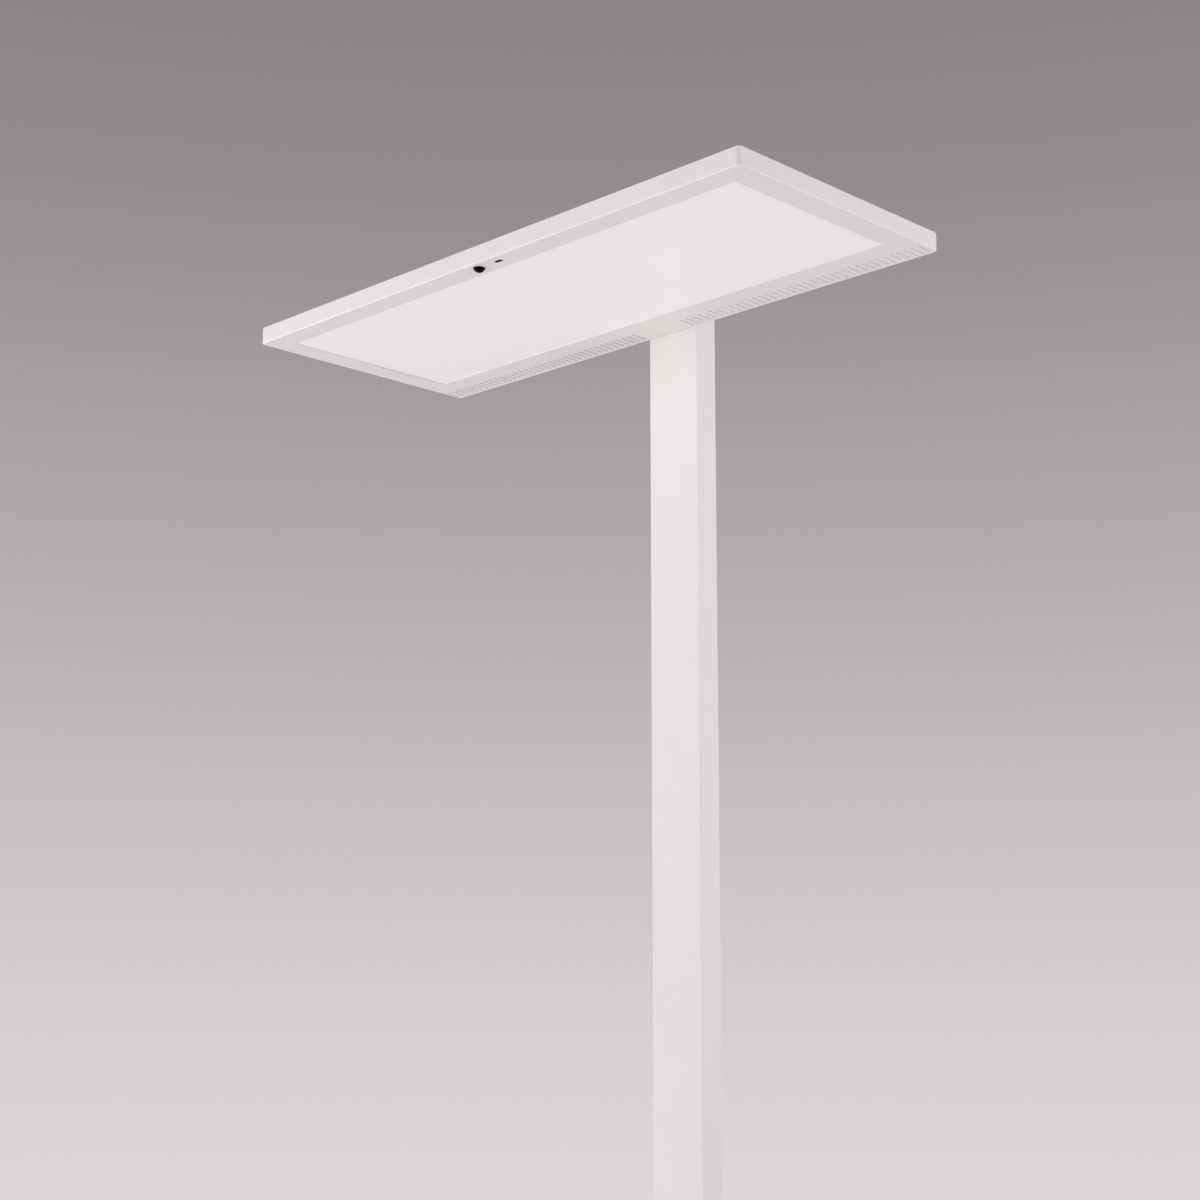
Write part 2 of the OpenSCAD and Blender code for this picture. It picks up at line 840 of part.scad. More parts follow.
module head_bracket() {
    color("#c3c5c8")
    difference() {
        union() {
            centred_sheet(spigot_w / 2, spigot_y0, spigot_y1, spigot_z0, tongue_z1);
            centred_sheet(tongue_w / 2, tongue_y0, spigot_y0 + tiny, floor_z, tongue_z1);
        }
        translate([0, cable_y, spigot_z0 - 1]) rod(cable_bore_r, spigot_h + 2);
        // Way for the cables to bend forwards over the tongue
        centred_sheet(cable_bore_r, inner_y1, cable_y, tongue_z1 - cable_way_h, tongue_z1 + 1);
        at_col_screws(bracket_screw_zs) col_thread();
        at_studs() translate([0, 0, -1]) rod(stud_r + hole_gap, tongue_t + 2);
    }
}

module at_studs() {
    for (x = [-1, 1], y = stud_ys) translate([x * stud_x, y, floor_z]) children();
}

module bracket_nuts() {
    color("#b9bbbe") at_studs() translate([0, 0, tongue_t]) nut(stud_nut_r, stud_r + thread_gap, stud_nut_h);
}

// Head: the tray that everything in it is fixed to

// Section of the rim, from the outer face inwards
function rim_section() = concat(
    arc([rim_r, rim_r], rim_r, 270, 180, 4),
    arc([rim_r, head_t - rim_r], rim_r, 180, 90, 4),
    [[head_wall, head_t], [head_wall, 0]]
);

// The rim: one section swept along the four sides and turned round the corners
module rim() {
    side_l = head_l - 2 * head_corner_r;
    side_d = head_d - 2 * head_corner_r;
    translate([0, head_mid_y, head_z0])
    for (turn = [0:3]) {
        long = turn % 2 == 0;
        run = long ? side_l : side_d;
        out = (long ? head_d : head_l) / 2;
        rotate([0, 0, 90 * turn]) {
            translate([-run / 2, -out, 0]) rotate([90, 0, 90]) linear_extrude(run) polygon(rim_section());
            translate([run / 2, head_corner_r - out, 0])
                rotate([0, 0, -90])
                rotate_extrude(angle = 90, $fn = round_fn)
                polygon([for (p = rim_section()) [head_corner_r - p[0], p[1]]]);
        }
    }
}

module head_plan(inset) {
    polygon(rounded(head_l - 2 * inset, head_d - 2 * inset, head_corner_r - inset, 4));
}

// The vent slots to the right and left of the column
module slots() {
    for (side = [-1, 1], i = [0:slot_count - 1])
        translate([side * (slot_first + i * slot_pitch), head_y1 - slot_edge - slot_l / 2])
        square([slot_w, slot_l], center = true);
}

module bezel() {
    translate([0, 0, head_z0])
    linear_extrude(bezel_t)
    difference() {
        translate([0, head_mid_y]) head_plan(weld_inset);
        translate([-win_x, win_y0]) square([2 * win_x, win_y1 - win_y0]);
        slots();
        translate([0, sensor_y]) circle(r = dome_r + thread_gap, $fn = round_fn);
        translate([window_x, sensor_y]) stadium_x(window_l + 2 * hole_gap, window_w + 2 * hole_gap);
    }
}

module stadium_x(l, w) {
    rotate(90) stadium(w, l);
}

// The ledge round the inside of the rim, which carries the lid, and its screw tabs
module ledge() {
    translate([0, head_mid_y, lid_z0 - ledge_t])
    linear_extrude(ledge_t)
    difference() {
        head_plan(weld_inset);
        square([2 * (inner_x - ledge_w), head_d - 2 * (head_wall + ledge_w)], center = true);
    }
    at_tabs() translate([-tab_w / 2, tiny - tab_hole, -tab_t]) cube([tab_w, tab_d - tiny, tab_t]);
}

// Places of the lid's screws, turned so that +Y runs into the head from the nearest wall
module at_tabs() {
    for (x = tab_xs) {
        translate([x, inner_y0 + tab_hole, lid_z0]) children();
        translate([x, inner_y1 - tab_hole, lid_z0]) rotate([0, 0, 180]) children();
    }
}

module at_posts() {
    for (x = [-1, 1], y = post_ys) translate([x * post_x, y, floor_z]) children();
}

module at_box_posts() {
    for (x = box_post_xs) translate([x, lug_mid_y, floor_z]) children();
}

module at_sensor_pins() {
    for (x = [holder_x0 + holder_foot / 2, holder_x1 - holder_foot / 2])
        translate([x, sensor_y, floor_z]) children();
}

module head_tray() {
    sensor_pin_h = holder_z1 + sensor_board_t + sensor_nut_h - floor_z;
    color("#e9e6e4")
    difference() {
        union() {
            rim();
            bezel();
            ledge();
            at_posts() translate([0, 0, -tiny]) rod(post_r, carrier_z0 - floor_z + tiny);
            at_box_posts() translate([0, 0, -tiny]) rod(box_post_r, box_lift + tiny);
            at_studs() translate([0, 0, -tiny]) rod(stud_r, tongue_t + stud_nut_h + tiny);
            at_sensor_pins() translate([0, 0, -tiny]) rod(sensor_pin_r, sensor_pin_h);
        }
        at_posts() rod(small_screw_r + thread_gap, carrier_z0 - floor_z + 1);
        at_box_posts() rod(small_screw_r + thread_gap, box_lift + 1);
        at_tabs() translate([0, 0, -tab_t - 1]) rod(small_screw_r + thread_gap, tab_t + 2);
        // Window in the back wall for the bracket's tongue and the cables
        centred_sheet(tongue_w / 2 + slip_gap, inner_y1 - ledge_w - 1, head_y1 + 1, floor_z, lid_z0);
    }
}

// Light engine

module lower_diffuser() {
    color("#f2f0ee") centred_sheet(panel_x, panel_y0, panel_y1, floor_z, guide_z0);
}

module light_guide() {
    color("#dfe7ea") centred_sheet(guide_x, guide_y0, guide_y1, guide_z0, reflector_z0);
}

module reflector_sheet() {
    color("#fbfbfa") centred_sheet(guide_x, guide_y0, guide_y1, reflector_z0, carrier_z0);
}

// One LED strip: a board that stands on edge and its LEDs, which face +Y
module led_strip() {
    count = floor((2 * guide_x - chip_w) / chip_pitch);
    z0 = floor_z + strip_clear;
    z1 = carrier_z0 - chip_gap;
    chip_z = guide_z0 + guide_t / 2;
    centred_sheet(guide_x, 0, strip_t, z0, z1);
    for (i = [0:count])
        translate([(i - count / 2) * chip_pitch, strip_t + chip_d / 2, chip_z])
        cube([chip_w, chip_d + tiny, chip_h], center = true);
}

module led_strip_front() {
    color("#f0e3a2") translate([0, strip_y0, 0]) led_strip();
}

module led_strip_rear() {
    color("#f0e3a2") translate([0, strip_y1, 0]) mirror([0, 1, 0]) led_strip();
}

module carrier_sheet() {
    color("#c9ccd0")
    difference() {
        union() {
            centred_sheet(carrier_x, carrier_y0, carrier_y1, carrier_z0, carrier_z1);
            centred_sheet(guide_x, carrier_y0, strip_y0, floor_z, carrier_z0 + tiny);
            centred_sheet(guide_x, strip_y1, carrier_y1, floor_z, carrier_z0 + tiny);
        }
        at_posts()
            translate([0, 0, carrier_z0 - floor_z - 1]) rod(small_screw_r + hole_gap, carrier_t + 2);
    }
}

module carrier_screws() {
    color("#b9bbbe")
    at_posts()
        translate([0, 0, carrier_z1 - floor_z])
        pan_screw(small_screw_r, pan_head_r, pan_head_h, carrier_z1 - floor_z - screw_tip);
}

module upper_led_boards() {
    chips = floor(up_board_l / chip_pitch);
    for (x = [-1, 1], y = [-1, 1])
        translate([x * (up_board_gap + up_board_l / 2), win_mid_y + y * up_row_y, carrier_z1]) {
            color("#f4f4f2")
            translate([0, 0, board_t / 2])
            cube([up_board_l, up_board_d, board_t], center = true);
            color("#f0e3a2")
            for (i = [0:chips - 1])
                translate([(i - (chips - 1) / 2) * chip_pitch, 0, board_t + up_chip_h / 2])
                cube([up_chip, up_chip, up_chip_h + tiny], center = true);
        }
}

module upper_diffuser() {
    color("#f2f0ee")
    centred_sheet(up_panel_x, win_mid_y - up_panel_y, win_mid_y + up_panel_y, lid_z0 - up_panel_t, lid_z0);
}

// Lid

module top_cover() {
    color("#e9e6e4")
    difference() {
        translate([0, 0, lid_z0])
        linear_extrude(lid_t)
        difference() {
            translate([0, head_mid_y]) head_plan(head_wall + slip_gap);
            translate([0, win_mid_y]) square([up_window_l, up_window_d], center = true);
            // The same slots as in the bezel, moved forwards to clear the screw tabs
            translate([0, slot_edge - head_wall - 2 * tab_d]) slots();
        }
        at_tabs()
            translate([0, 0, lid_t])
            sunk_hole(small_screw_r + thread_gap, sink_r + thread_gap, lid_t + 1);
    }
}

module cover_screws() {
    color("#b9bbbe")
    at_tabs() translate([0, 0, lid_t]) sunk_screw(small_screw_r, sink_r, lid_t + tab_t + 1);
}

// Electronics

// A metal box with a lug at each end, from x0 to x0 + length
module boxed(x0, length) {
    difference() {
        union() {
            sheet(x0, box_y0, x0 + length, box_y1, box_z0, box_z1);
            sheet(x0 - lug_l, lug_y0, x0 + length + lug_l, lug_y0 + lug_d, box_z0, box_z0 + lug_t);
        }
        at_box_posts() rod(small_screw_r + hole_gap, box_lift + lug_t + 1);
    }
}

module led_driver() {
    color("#d4d6d8") boxed(box_x, driver_l);
}

module control_unit() {
    color("#3a3b3e") boxed(-box_x - control_unit_l, control_unit_l);
}

module electronics_screws() {
    color("#b9bbbe")
    at_box_posts()
        translate([0, 0, box_lift + lug_t])
        pan_screw(small_screw_r, pan_head_r, pan_head_h, box_lift + lug_t - screw_tip);
}

// White fleece strips that lie on the bezel's slots and keep dust out
module vent_screens() {
    x0 = slot_first - slot_w / 2 - screen_edge;
    x1 = inner_x - slip_gap;
    depth = slot_l + 2 * screen_edge;
    color("#f4f4f2")
    for (side = [-1, 1])
        translate([side * (x0 + x1) / 2, head_y1 - slot_edge + screen_edge - depth / 2, floor_z])
        linear_extrude(screen_t)
        polygon(rounded(x1 - x0, depth, head_corner_r - head_wall));
}

// Sensors in the front bezel

// Section of a dome that hangs h below z = 0, from its lowest point out to radius r
function dome(r, h) =
    let (ball_r = (r * r + h * h) / (2 * h))
    let (ball_z = ball_r - h)
    arc([0, ball_z], ball_r, -90, -asin(ball_z / ball_r), 10);

function backwards(p) = [for (i = [len(p) - 1:-1:0]) p[i]];

// A domed shell with a flange that lies on the inside of the bezel
module presence_lens() {
    inner_r = dome_r - lens_wall;
    flange_r = dome_r + dome_flange;
    flange_z1 = bezel_t + lens_flange_t;
    color("#0c0c0d")
    translate([0, sensor_y, head_z0])
    rotate_extrude($fn = round_fn)
    polygon(concat(
        dome(dome_r, dome_h),
        [[dome_r, bezel_t], [flange_r, bezel_t], [flange_r, flange_z1], [inner_r, flange_z1]],
        backwards(dome(inner_r, dome_h - lens_wall))
    ));
}

// Flush with the bezel, with a flange inside it
module light_sensor_window() {
    color("#141416")
    translate([window_x, sensor_y, head_z0]) {
        linear_extrude(bezel_t + tiny) stadium_x(window_l, window_w);
        translate([0, 0, bezel_t])
            linear_extrude(lens_flange_t)
            stadium_x(window_l + 2 * window_flange, window_w + 2 * window_flange);
    }
}

module sensor_holder() {
    y0 = sensor_y - holder_d / 2;
    y1 = sensor_y + holder_d / 2;
    color("#1c1c1e")
    difference() {
        union() {
            sheet(holder_x0, y0, holder_x1, y1, holder_z0, holder_z1);
            for (x = [holder_x0, holder_x1 - holder_foot])
                sheet(x, y0, x + holder_foot, y1, floor_z, holder_z0 + tiny);
        }
        translate([0, sensor_y, holder_z0 - 1]) rod(sensor_can_r + sensor_can_gap, holder_h + 2);
        translate([window_x, sensor_y, holder_z0 - 1])
            linear_extrude(holder_h + 2)
            stadium_x(window_l, window_w + 1);
        at_sensor_pins()
            translate([0, 0, -1]) rod(sensor_pin_r + hole_gap / 2, holder_z1 - floor_z + 2);
    }
}

module sensor_board() {
    y0 = sensor_y - (holder_d - 1) / 2;
    y1 = sensor_y + (holder_d - 1) / 2;
    z1 = holder_z1 + sensor_board_t;
    color("#2f6b46")
    difference() {
        union() {
            sheet(holder_x0, y0, holder_x1, y1, holder_z1, z1);
            translate([0, sensor_y, holder_z0 + thread_gap]) rod(sensor_can_r, holder_h);
            translate([window_x, sensor_y, holder_z1]) cube(light_chip, center = true);
            // Socket for the sensor lead
            translate([sensor_plug_x, sensor_y - sensor_plug_d / 2, z1 - tiny])
                cube([sensor_plug_w, sensor_plug_d, sensor_plug_h]);
        }
        at_sensor_pins()
            translate([0, 0, holder_z1 - floor_z - 1])
            rod(sensor_pin_r + hole_gap / 2, sensor_board_t + 2);
    }
}

module sensor_nuts() {
    color("#b9bbbe")
    at_sensor_pins()
        translate([0, 0, holder_z1 + sensor_board_t - floor_z])
        nut(sensor_nut_r, sensor_pin_r + thread_gap, sensor_nut_h);
}

base_plate();
glide_pads();
base_screws();
foot_insert();
column_tube();
column_cap();
column_screws();
inlet_housing();
inlet_pins();
inlet_screws();
control_plate();
button_up();
button_down();
status_light();
button_board();
button_board_screws();
supply_cable();
signal_cable();
head_bracket();
bracket_nuts();
head_tray();
lower_diffuser();
light_guide();
reflector_sheet();
led_strip_front();
led_strip_rear();
carrier_sheet();
carrier_screws();
upper_led_boards();
upper_diffuser();
top_cover();
cover_screws();
led_driver();
control_unit();
electronics_screws();
vent_screens();
presence_lens();
light_sensor_window();
sensor_holder();
sensor_board();
sensor_nuts();
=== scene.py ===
import json
import math
import bmesh
import bpy
from mathutils import Matrix, Vector


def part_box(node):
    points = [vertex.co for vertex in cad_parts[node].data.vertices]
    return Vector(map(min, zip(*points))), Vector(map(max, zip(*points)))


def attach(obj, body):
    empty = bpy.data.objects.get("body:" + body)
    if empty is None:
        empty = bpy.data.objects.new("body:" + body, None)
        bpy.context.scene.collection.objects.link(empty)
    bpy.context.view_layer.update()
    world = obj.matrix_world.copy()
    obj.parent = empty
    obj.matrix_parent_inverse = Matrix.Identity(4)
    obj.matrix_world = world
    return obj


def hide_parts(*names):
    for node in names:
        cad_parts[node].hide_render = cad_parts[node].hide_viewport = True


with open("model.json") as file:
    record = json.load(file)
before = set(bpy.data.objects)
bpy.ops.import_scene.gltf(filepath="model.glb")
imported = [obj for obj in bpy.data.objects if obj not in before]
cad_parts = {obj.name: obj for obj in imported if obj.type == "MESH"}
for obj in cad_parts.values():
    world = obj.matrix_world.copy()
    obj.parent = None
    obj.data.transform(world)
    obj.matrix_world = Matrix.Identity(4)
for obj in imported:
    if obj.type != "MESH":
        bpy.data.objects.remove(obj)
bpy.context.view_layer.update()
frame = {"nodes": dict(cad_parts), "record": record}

nodes = frame["nodes"]
slotOf = {row["node"]: row["material_slot"] for row in frame["record"]["subparts"]}
bodyOf = {node: body for body, names in frame["record"]["behaviour"]["bodies"].items() for node in names}
mm = 0.001
merge = 0.001 * mm  # points closer than this are one point
creases = {  # degrees between two faces
    "flat": 0.5,  # up to this they are joined to one face
    "bevelled": 32,  # over this their edge is rounded
    "sharp": 40,  # over this their edge is kept in the shading
}


# Colours and shader nodes

def toLinear(hexColour):  # sRGB hex to the linear colour that a socket takes
    channels = [int(hexColour[i:i + 2], 16) / 255 for i in (1, 3, 5)]
    return [c / 12.92 if c <= 0.04045 else ((c + 0.055) / 1.055) ** 2.4 for c in channels] + [1.0]


def addNode(tree, kind, values=None, links=None, **settings):
    node = tree.nodes.new(kind)
    for name, value in settings.items():
        setattr(node, name, value)
    for socket, value in (values or {}).items():
        node.inputs[socket].default_value = value
    for socket, output in (links or {}).items():
        tree.links.new(output, node.inputs[socket])
    return node


def newFinish(name, colour, roughness, **sockets):
    material = bpy.data.materials.new(name)
    material.use_nodes = True
    tree = material.node_tree
    shader = tree.nodes["Principled BSDF"]
    shader.inputs["Base Color"].default_value = toLinear(colour)
    shader.inputs["Roughness"].default_value = roughness
    for socket, value in sockets.items():
        shader.inputs[socket.replace("_", " ")].default_value = value
    return material, tree, shader


def cells(tree, size, stretch=(1, 1, 1)):  # object coordinates in which one cell of the pattern is one unit
    place = addNode(tree, "ShaderNodeTexCoord")
    scale = [1 / (size * s) for s in stretch]
    mapping = addNode(tree, "ShaderNodeMapping", {"Scale": scale}, {"Vector": place.outputs["Object"]})
    return mapping.outputs["Vector"]


def speckle(tree, size, stretch=(1, 1, 1), detail=2.0):
    values = {"Scale": 1.0, "Detail": detail, "Roughness": 0.5}
    return addNode(tree, "ShaderNodeTexNoise", values, {"Vector": cells(tree, size, stretch)}).outputs["Fac"]


def emboss(tree, shader, height, depth):  # depth is in metres
    previous = shader.inputs["Normal"].links
    links = {"Height": height}
    if previous:
        links["Normal"] = previous[0].from_socket
    bump = addNode(tree, "ShaderNodeBump", {"Strength": 1.0, "Distance": depth}, links)
    tree.links.new(bump.outputs["Normal"], shader.inputs["Normal"])


def varyRoughness(tree, shader, source, low, high):
    spread = addNode(tree, "ShaderNodeMapRange", {"To Min": low, "To Max": high}, {"Value": source})
    tree.links.new(spread.outputs["Result"], shader.inputs["Roughness"])


def varyColour(tree, shader, source, first, second, low=0.3, high=0.7):
    ramp = addNode(tree, "ShaderNodeValToRGB", None, {"Fac": source})
    ramp.color_ramp.elements[0].position = low
    ramp.color_ramp.elements[0].color = toLinear(first)
    ramp.color_ramp.elements[1].position = high
    ramp.color_ramp.elements[1].color = toLinear(second)
    tree.links.new(ramp.outputs["Color"], shader.inputs["Base Color"])


# Finishes

coat = {
    "colour": "#e1dddc", "darker": "#dfdbda", "satin": (0.34, 0.40),
    "peelSize": 1.6 * mm, "peelDepth": 0.010 * mm, "grainSize": 0.45 * mm, "grainDepth": 0.004 * mm,
}


def powderCoat():
    # Polyester powder coat, sprayed and baked on steel and aluminium: warm white and satin,
    # with the shallow orange peel that a baked powder keeps
    material, tree, shader = newFinish("powderCoatWarmWhite", coat["colour"], coat["satin"][0])
    varyColour(tree, shader, speckle(tree, size=40 * mm), coat["darker"], coat["colour"])
    varyRoughness(tree, shader, speckle(tree, size=25 * mm), *coat["satin"])
    emboss(tree, shader, speckle(tree, coat["peelSize"]), coat["peelDepth"])
    emboss(tree, shader, speckle(tree, coat["grainSize"], detail=1.0), coat["grainDepth"])
    return material


def mouldedPlastic(name, colour, darker, satin, grain, depth):
    # Injection-moulded plastic from a spark-eroded mould: even colour, fine dull grain
    material, tree, shader = newFinish(name, colour, satin[0], IOR=1.54)
    varyColour(tree, shader, speckle(tree, size=12 * mm), darker, colour)
    varyRoughness(tree, shader, speckle(tree, size=6 * mm), *satin)
    emboss(tree, shader, speckle(tree, grain), depth)
    return material


opal = {
    "colour": "#f8f5f4", "darker": "#f6f3f2", "satin": (0.27, 0.31),
    "waveSize": 60 * mm, "milkiness": 0.15, "lightReach": 4 * mm,
}


def opalAcrylic():
    # Cast opal PMMA with a satin face: milky, a little light goes in and comes out again
    material, tree, shader = newFinish(
        "opalAcrylicCast", opal["colour"], opal["satin"][0], IOR=1.49,
        Subsurface_Weight=opal["milkiness"], Subsurface_Radius=[opal["lightReach"]] * 3, Subsurface_Scale=1.0,
    )
    varyColour(tree, shader, speckle(tree, opal["waveSize"]), opal["darker"], opal["colour"])
    varyRoughness(tree, shader, speckle(tree, size=20 * mm), *opal["satin"])
    emboss(tree, shader, speckle(tree, size=0.6 * mm), depth=0.002 * mm)
    return material


def polishedBlack():
    # Infrared-clear black polyethylene, moulded thin: it swallows nearly all light,
    # so that it looks black even at a low angle, with one small highlight
    material, tree, shader = newFinish(
        "infraredBlackLens", "#030303", roughness=0.2, IOR=1.5, Specular_IOR_Level=0.05
    )
    varyRoughness(tree, shader, speckle(tree, size=3 * mm), low=0.16, high=0.24)
    emboss(tree, shader, speckle(tree, size=2 * mm), depth=0.004 * mm)
    return material


def lightGuidePlate():
    # Clear PMMA, laser-cut, with a grid of small white dots that send the light out of it
    material, tree, shader = newFinish("clearAcrylicDotted", "#dfe9ea", roughness=0.06, IOR=1.49)
    dots = addNode(
        tree, "ShaderNodeTexVoronoi", {"Scale": 1.0, "Randomness": 0.0}, {"Vector": cells(tree, size=4 * mm)}
    )
    varyColour(tree, shader, dots.outputs["Distance"], "#fbfbfa", "#d3e2e4", low=0.28, high=0.34)
    varyRoughness(tree, shader, speckle(tree, size=8 * mm), low=0.05, high=0.12)
    return material


def whiteFilm():
    # Extruded matt white PET film: flat white, slightly rippled where it lies loose
    material, tree, shader = newFinish("whitePetFilm", "#f2f2f0", roughness=0.75)
    varyColour(tree, shader, speckle(tree, size=30 * mm), "#efefed", "#f4f4f2")
    emboss(tree, shader, speckle(tree, size=45 * mm), depth=0.15 * mm)
    return material


def bondedFleece():
    # Bonded polyester fleece: matt, with fibres crossing every way. Its colour is painted shade: a light grey
    # below the fleece's own white, so that the vent slots seen over it look shaded. The fibres are drawn 0.2
    # mm apart, ten times as coarse as they are, so that they show
    material, tree, shader = newFinish("polyesterFleeceWithPaintedShade", "#dfdcda", roughness=0.95)
    fibres = speckle(tree, size=0.2 * mm, stretch=(1, 6, 1), detail=4.0)
    varyColour(tree, shader, fibres, "#dad7d5", "#e3e0de")
    emboss(tree, shader, fibres, depth=0.04 * mm)
    return material


def lightPipe():
    # Clear polycarbonate light pipe, moulded, slightly green in the mass
    material, tree, shader = newFinish(
        "clearLightPipe", "#d6e4d4", roughness=0.12, IOR=1.58, Transmission_Weight=0.35
    )
    varyRoughness(tree, shader, speckle(tree, size=1 * mm), low=0.08, high=0.2)
    return material


def sheetMetal(name, colour, lighter, satin, grain, stretch, depth):
    # Rolled or machined metal: fine lines one way, which the stretched grain draws
    material, tree, shader = newFinish(name, colour, satin[0], Metallic=1.0)
    lines = speckle(tree, grain, stretch, detail=4.0)
    varyColour(tree, shader, lines, colour, lighter)
    varyRoughness(tree, shader, lines, *satin)
    emboss(tree, shader, lines, depth)
    return material


def galvanisedSteel():
    # Hot-dip galvanised sheet: grey zinc crystals 6 mm across, each a little lighter or darker
    material, tree, shader = newFinish("galvanisedSheet", "#a9abad", roughness=0.4, Metallic=1.0)
    crystals = addNode(
        tree, "ShaderNodeTexVoronoi", {"Scale": 1.0, "Randomness": 1.0}, {"Vector": cells(tree, size=6 * mm)}
    )
    shade = addNode(tree, "ShaderNodeSeparateColor", None, {"Color": crystals.outputs["Color"]})
    varyColour(tree, shader, shade.outputs["Red"], "#9b9da0", "#bcbec0", low=0.0, high=1.0)
    varyRoughness(tree, shader, shade.outputs["Green"], low=0.32, high=0.5)
    emboss(tree, shader, speckle(tree, size=0.5 * mm), depth=0.003 * mm)
    return material


def zincPlate():
    # Zinc-plated steel, blue passivated: bright grey with a faint blue and yellow bloom
    material, tree, shader = newFinish("zincPlatedSteel", "#bcbec1", roughness=0.3, Metallic=1.0)
    varyColour(tree, shader, speckle(tree, size=1.5 * mm), "#b9bdc4", "#c6c3ba")
    varyRoughness(tree, shader, speckle(tree, size=0.8 * mm), low=0.24, high=0.4)
    return material


def circuitBoard():
    # Glass epoxy under green solder mask: lighter tracks between rows of tinned pads
    material, tree, shader = newFinish("greenSolderMask", "#1d5a34", roughness=0.35)
    tracks = addNode(
        tree, "ShaderNodeTexBrick",
        {
            "Color1": toLinear("#1b5431"), "Color2": toLinear("#206039"), "Mortar": toLinear("#2f7a49"),
            "Scale": 1.0, "Mortar Size": 0.08, "Brick Width": 3.0, "Row Height": 1.0,
        },
        {"Vector": cells(tree, size=1.2 * mm)},
    )
    tree.links.new(tracks.outputs["Color"], shader.inputs["Base Color"])
    emboss(tree, shader, tracks.outputs["Fac"], depth=0.03 * mm)
    return material


def ledBoard(name, axis, limit, chipsAbove):
    # White solder mask, and the yellow phosphor of the LEDs that stand on it
    material, tree, shader = newFinish(name, "#ecebe6", roughness=0.45)
    place = addNode(tree, "ShaderNodeTexCoord")
    parts = addNode(tree, "ShaderNodeSeparateXYZ", None, {"Vector": place.outputs["Object"]})
    operation = "GREATER_THAN" if chipsAbove else "LESS_THAN"
    chips = addNode(tree, "ShaderNodeMath", {1: limit}, {0: parts.outputs[axis]}, operation=operation)
    varyColour(tree, shader, chips.outputs["Value"], "#ecebe6", "#e6c84a", low=0.0, high=1.0)
    emboss(tree, shader, speckle(tree, size=0.3 * mm), depth=0.004 * mm)
    return material


def matRubber():
    # Moulded TPE rubber: near black and matt, dusty where it has been handled
    material, tree, shader = newFinish("mattBlackRubber", "#1c1c1d", roughness=0.8, IOR=1.52)
    varyColour(tree, shader, speckle(tree, size=5 * mm, detail=4.0), "#191919", "#252526")
    emboss(tree, shader, speckle(tree, size=0.4 * mm), depth=0.02 * mm)
    return material


def cableSheath(name, colour, darker):
    # Extruded PVC sheath: satin, with faint lines along its length
    material, tree, shader = newFinish(name, colour, roughness=0.42, IOR=1.53)
    lines = speckle(tree, size=0.5 * mm, stretch=(1, 1, 40))
    varyColour(tree, shader, lines, darker, colour)
    varyRoughness(tree, shader, lines, low=0.36, high=0.5)
    emboss(tree, shader, lines, depth=0.01 * mm)
    return material


ledBoards = {"upper": 1.6 * mm, "strip": 1 * mm}  # thickness of the boards below their LEDs
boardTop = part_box("upper_led_boards")[0].z + ledBoards["upper"]
finishes = {
    "powder_coat": powderCoat(),
    "white_plastic": mouldedPlastic(
        "whitePolycarbonate", "#e2deda", "#dfdbd8", satin=(0.36, 0.44), grain=0.3 * mm, depth=0.004 * mm
    ),
    "button_plastic": mouldedPlastic(
        "greyWhiteAbs", "#d5d2cf", "#d2cfcc", satin=(0.34, 0.42), grain=0.25 * mm, depth=0.004 * mm
    ),
    "black_plastic": mouldedPlastic(
        "blackPolyamide", "#232324", "#1f1f20", satin=(0.5, 0.62), grain=0.35 * mm, depth=0.01 * mm
    ),
    "black_lens": polishedBlack(),
    "opal_acrylic": opalAcrylic(),
    "clear_acrylic": lightGuidePlate(),
    "white_film": whiteFilm(),
    "white_fleece": bondedFleece(),
    "light_pipe": lightPipe(),
    "led_board": ledBoard("whiteMaskUpper", "Z", boardTop, chipsAbove=True),
    "circuit_board": circuitBoard(),
    "carrier_aluminium": sheetMetal(
        "millAluminium", "#c3c5c8", "#d3d5d7",
        satin=(0.3, 0.42), grain=0.5 * mm, stretch=(60, 1, 1), depth=0.004 * mm,
    ),
    "bracket_metal": sheetMetal(
        "milledAluminium", "#b9bbbd", "#cccdcf",
        satin=(0.28, 0.4), grain=0.6 * mm, stretch=(1, 30, 1), depth=0.006 * mm,
    ),
    "driver_can": galvanisedSteel(),
    "zinc_screws": zincPlate(),
    "contact_metal": sheetMetal(
        "nickelPlatedBrass", "#cbb98a", "#d8cba6",
        satin=(0.2, 0.3), grain=0.4 * mm, stretch=(1, 20, 1), depth=0.003 * mm,
    ),
    "pad_rubber": matRubber(),
    "black_cable": cableSheath("blackPvc", "#232323", "#1b1b1b"),
    "grey_cable": cableSheath("greyPvc", "#a9a9a7", "#a09f9d"),
}
markInk = mouldedPlastic(
    "greyMarkInk", "#6f6e6c", "#6a6967", satin=(0.45, 0.55), grain=0.2 * mm, depth=0.002 * mm
)
print("finishes:", len(finishes))

# Every CAD node wears its finish, also the ones that stay out of sight inside
for name, node in nodes.items():
    node.material_slots[0].material = finishes[slotOf[name]]
nodes["led_strip_front"].material_slots[0].material = ledBoard(
    "whiteMaskFront", "Y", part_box("led_strip_front")[0].y + ledBoards["strip"], chipsAbove=True
)
nodes["led_strip_rear"].material_slots[0].material = ledBoard(
    "whiteMaskRear", "Y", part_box("led_strip_rear")[1].y - ledBoards["strip"], chipsAbove=False
)


# Forms

def mergedCopy(nodeName):  # a CAD node's loose triangles, joined into whole faces
    form = bmesh.new()
    form.from_mesh(nodes[nodeName].data)
    bmesh.ops.remove_doubles(form, verts=form.verts, dist=merge)
    bmesh.ops.dissolve_limit(
        form, angle_limit=math.radians(creases["flat"]), verts=form.verts, edges=form.edges
    )
    return form


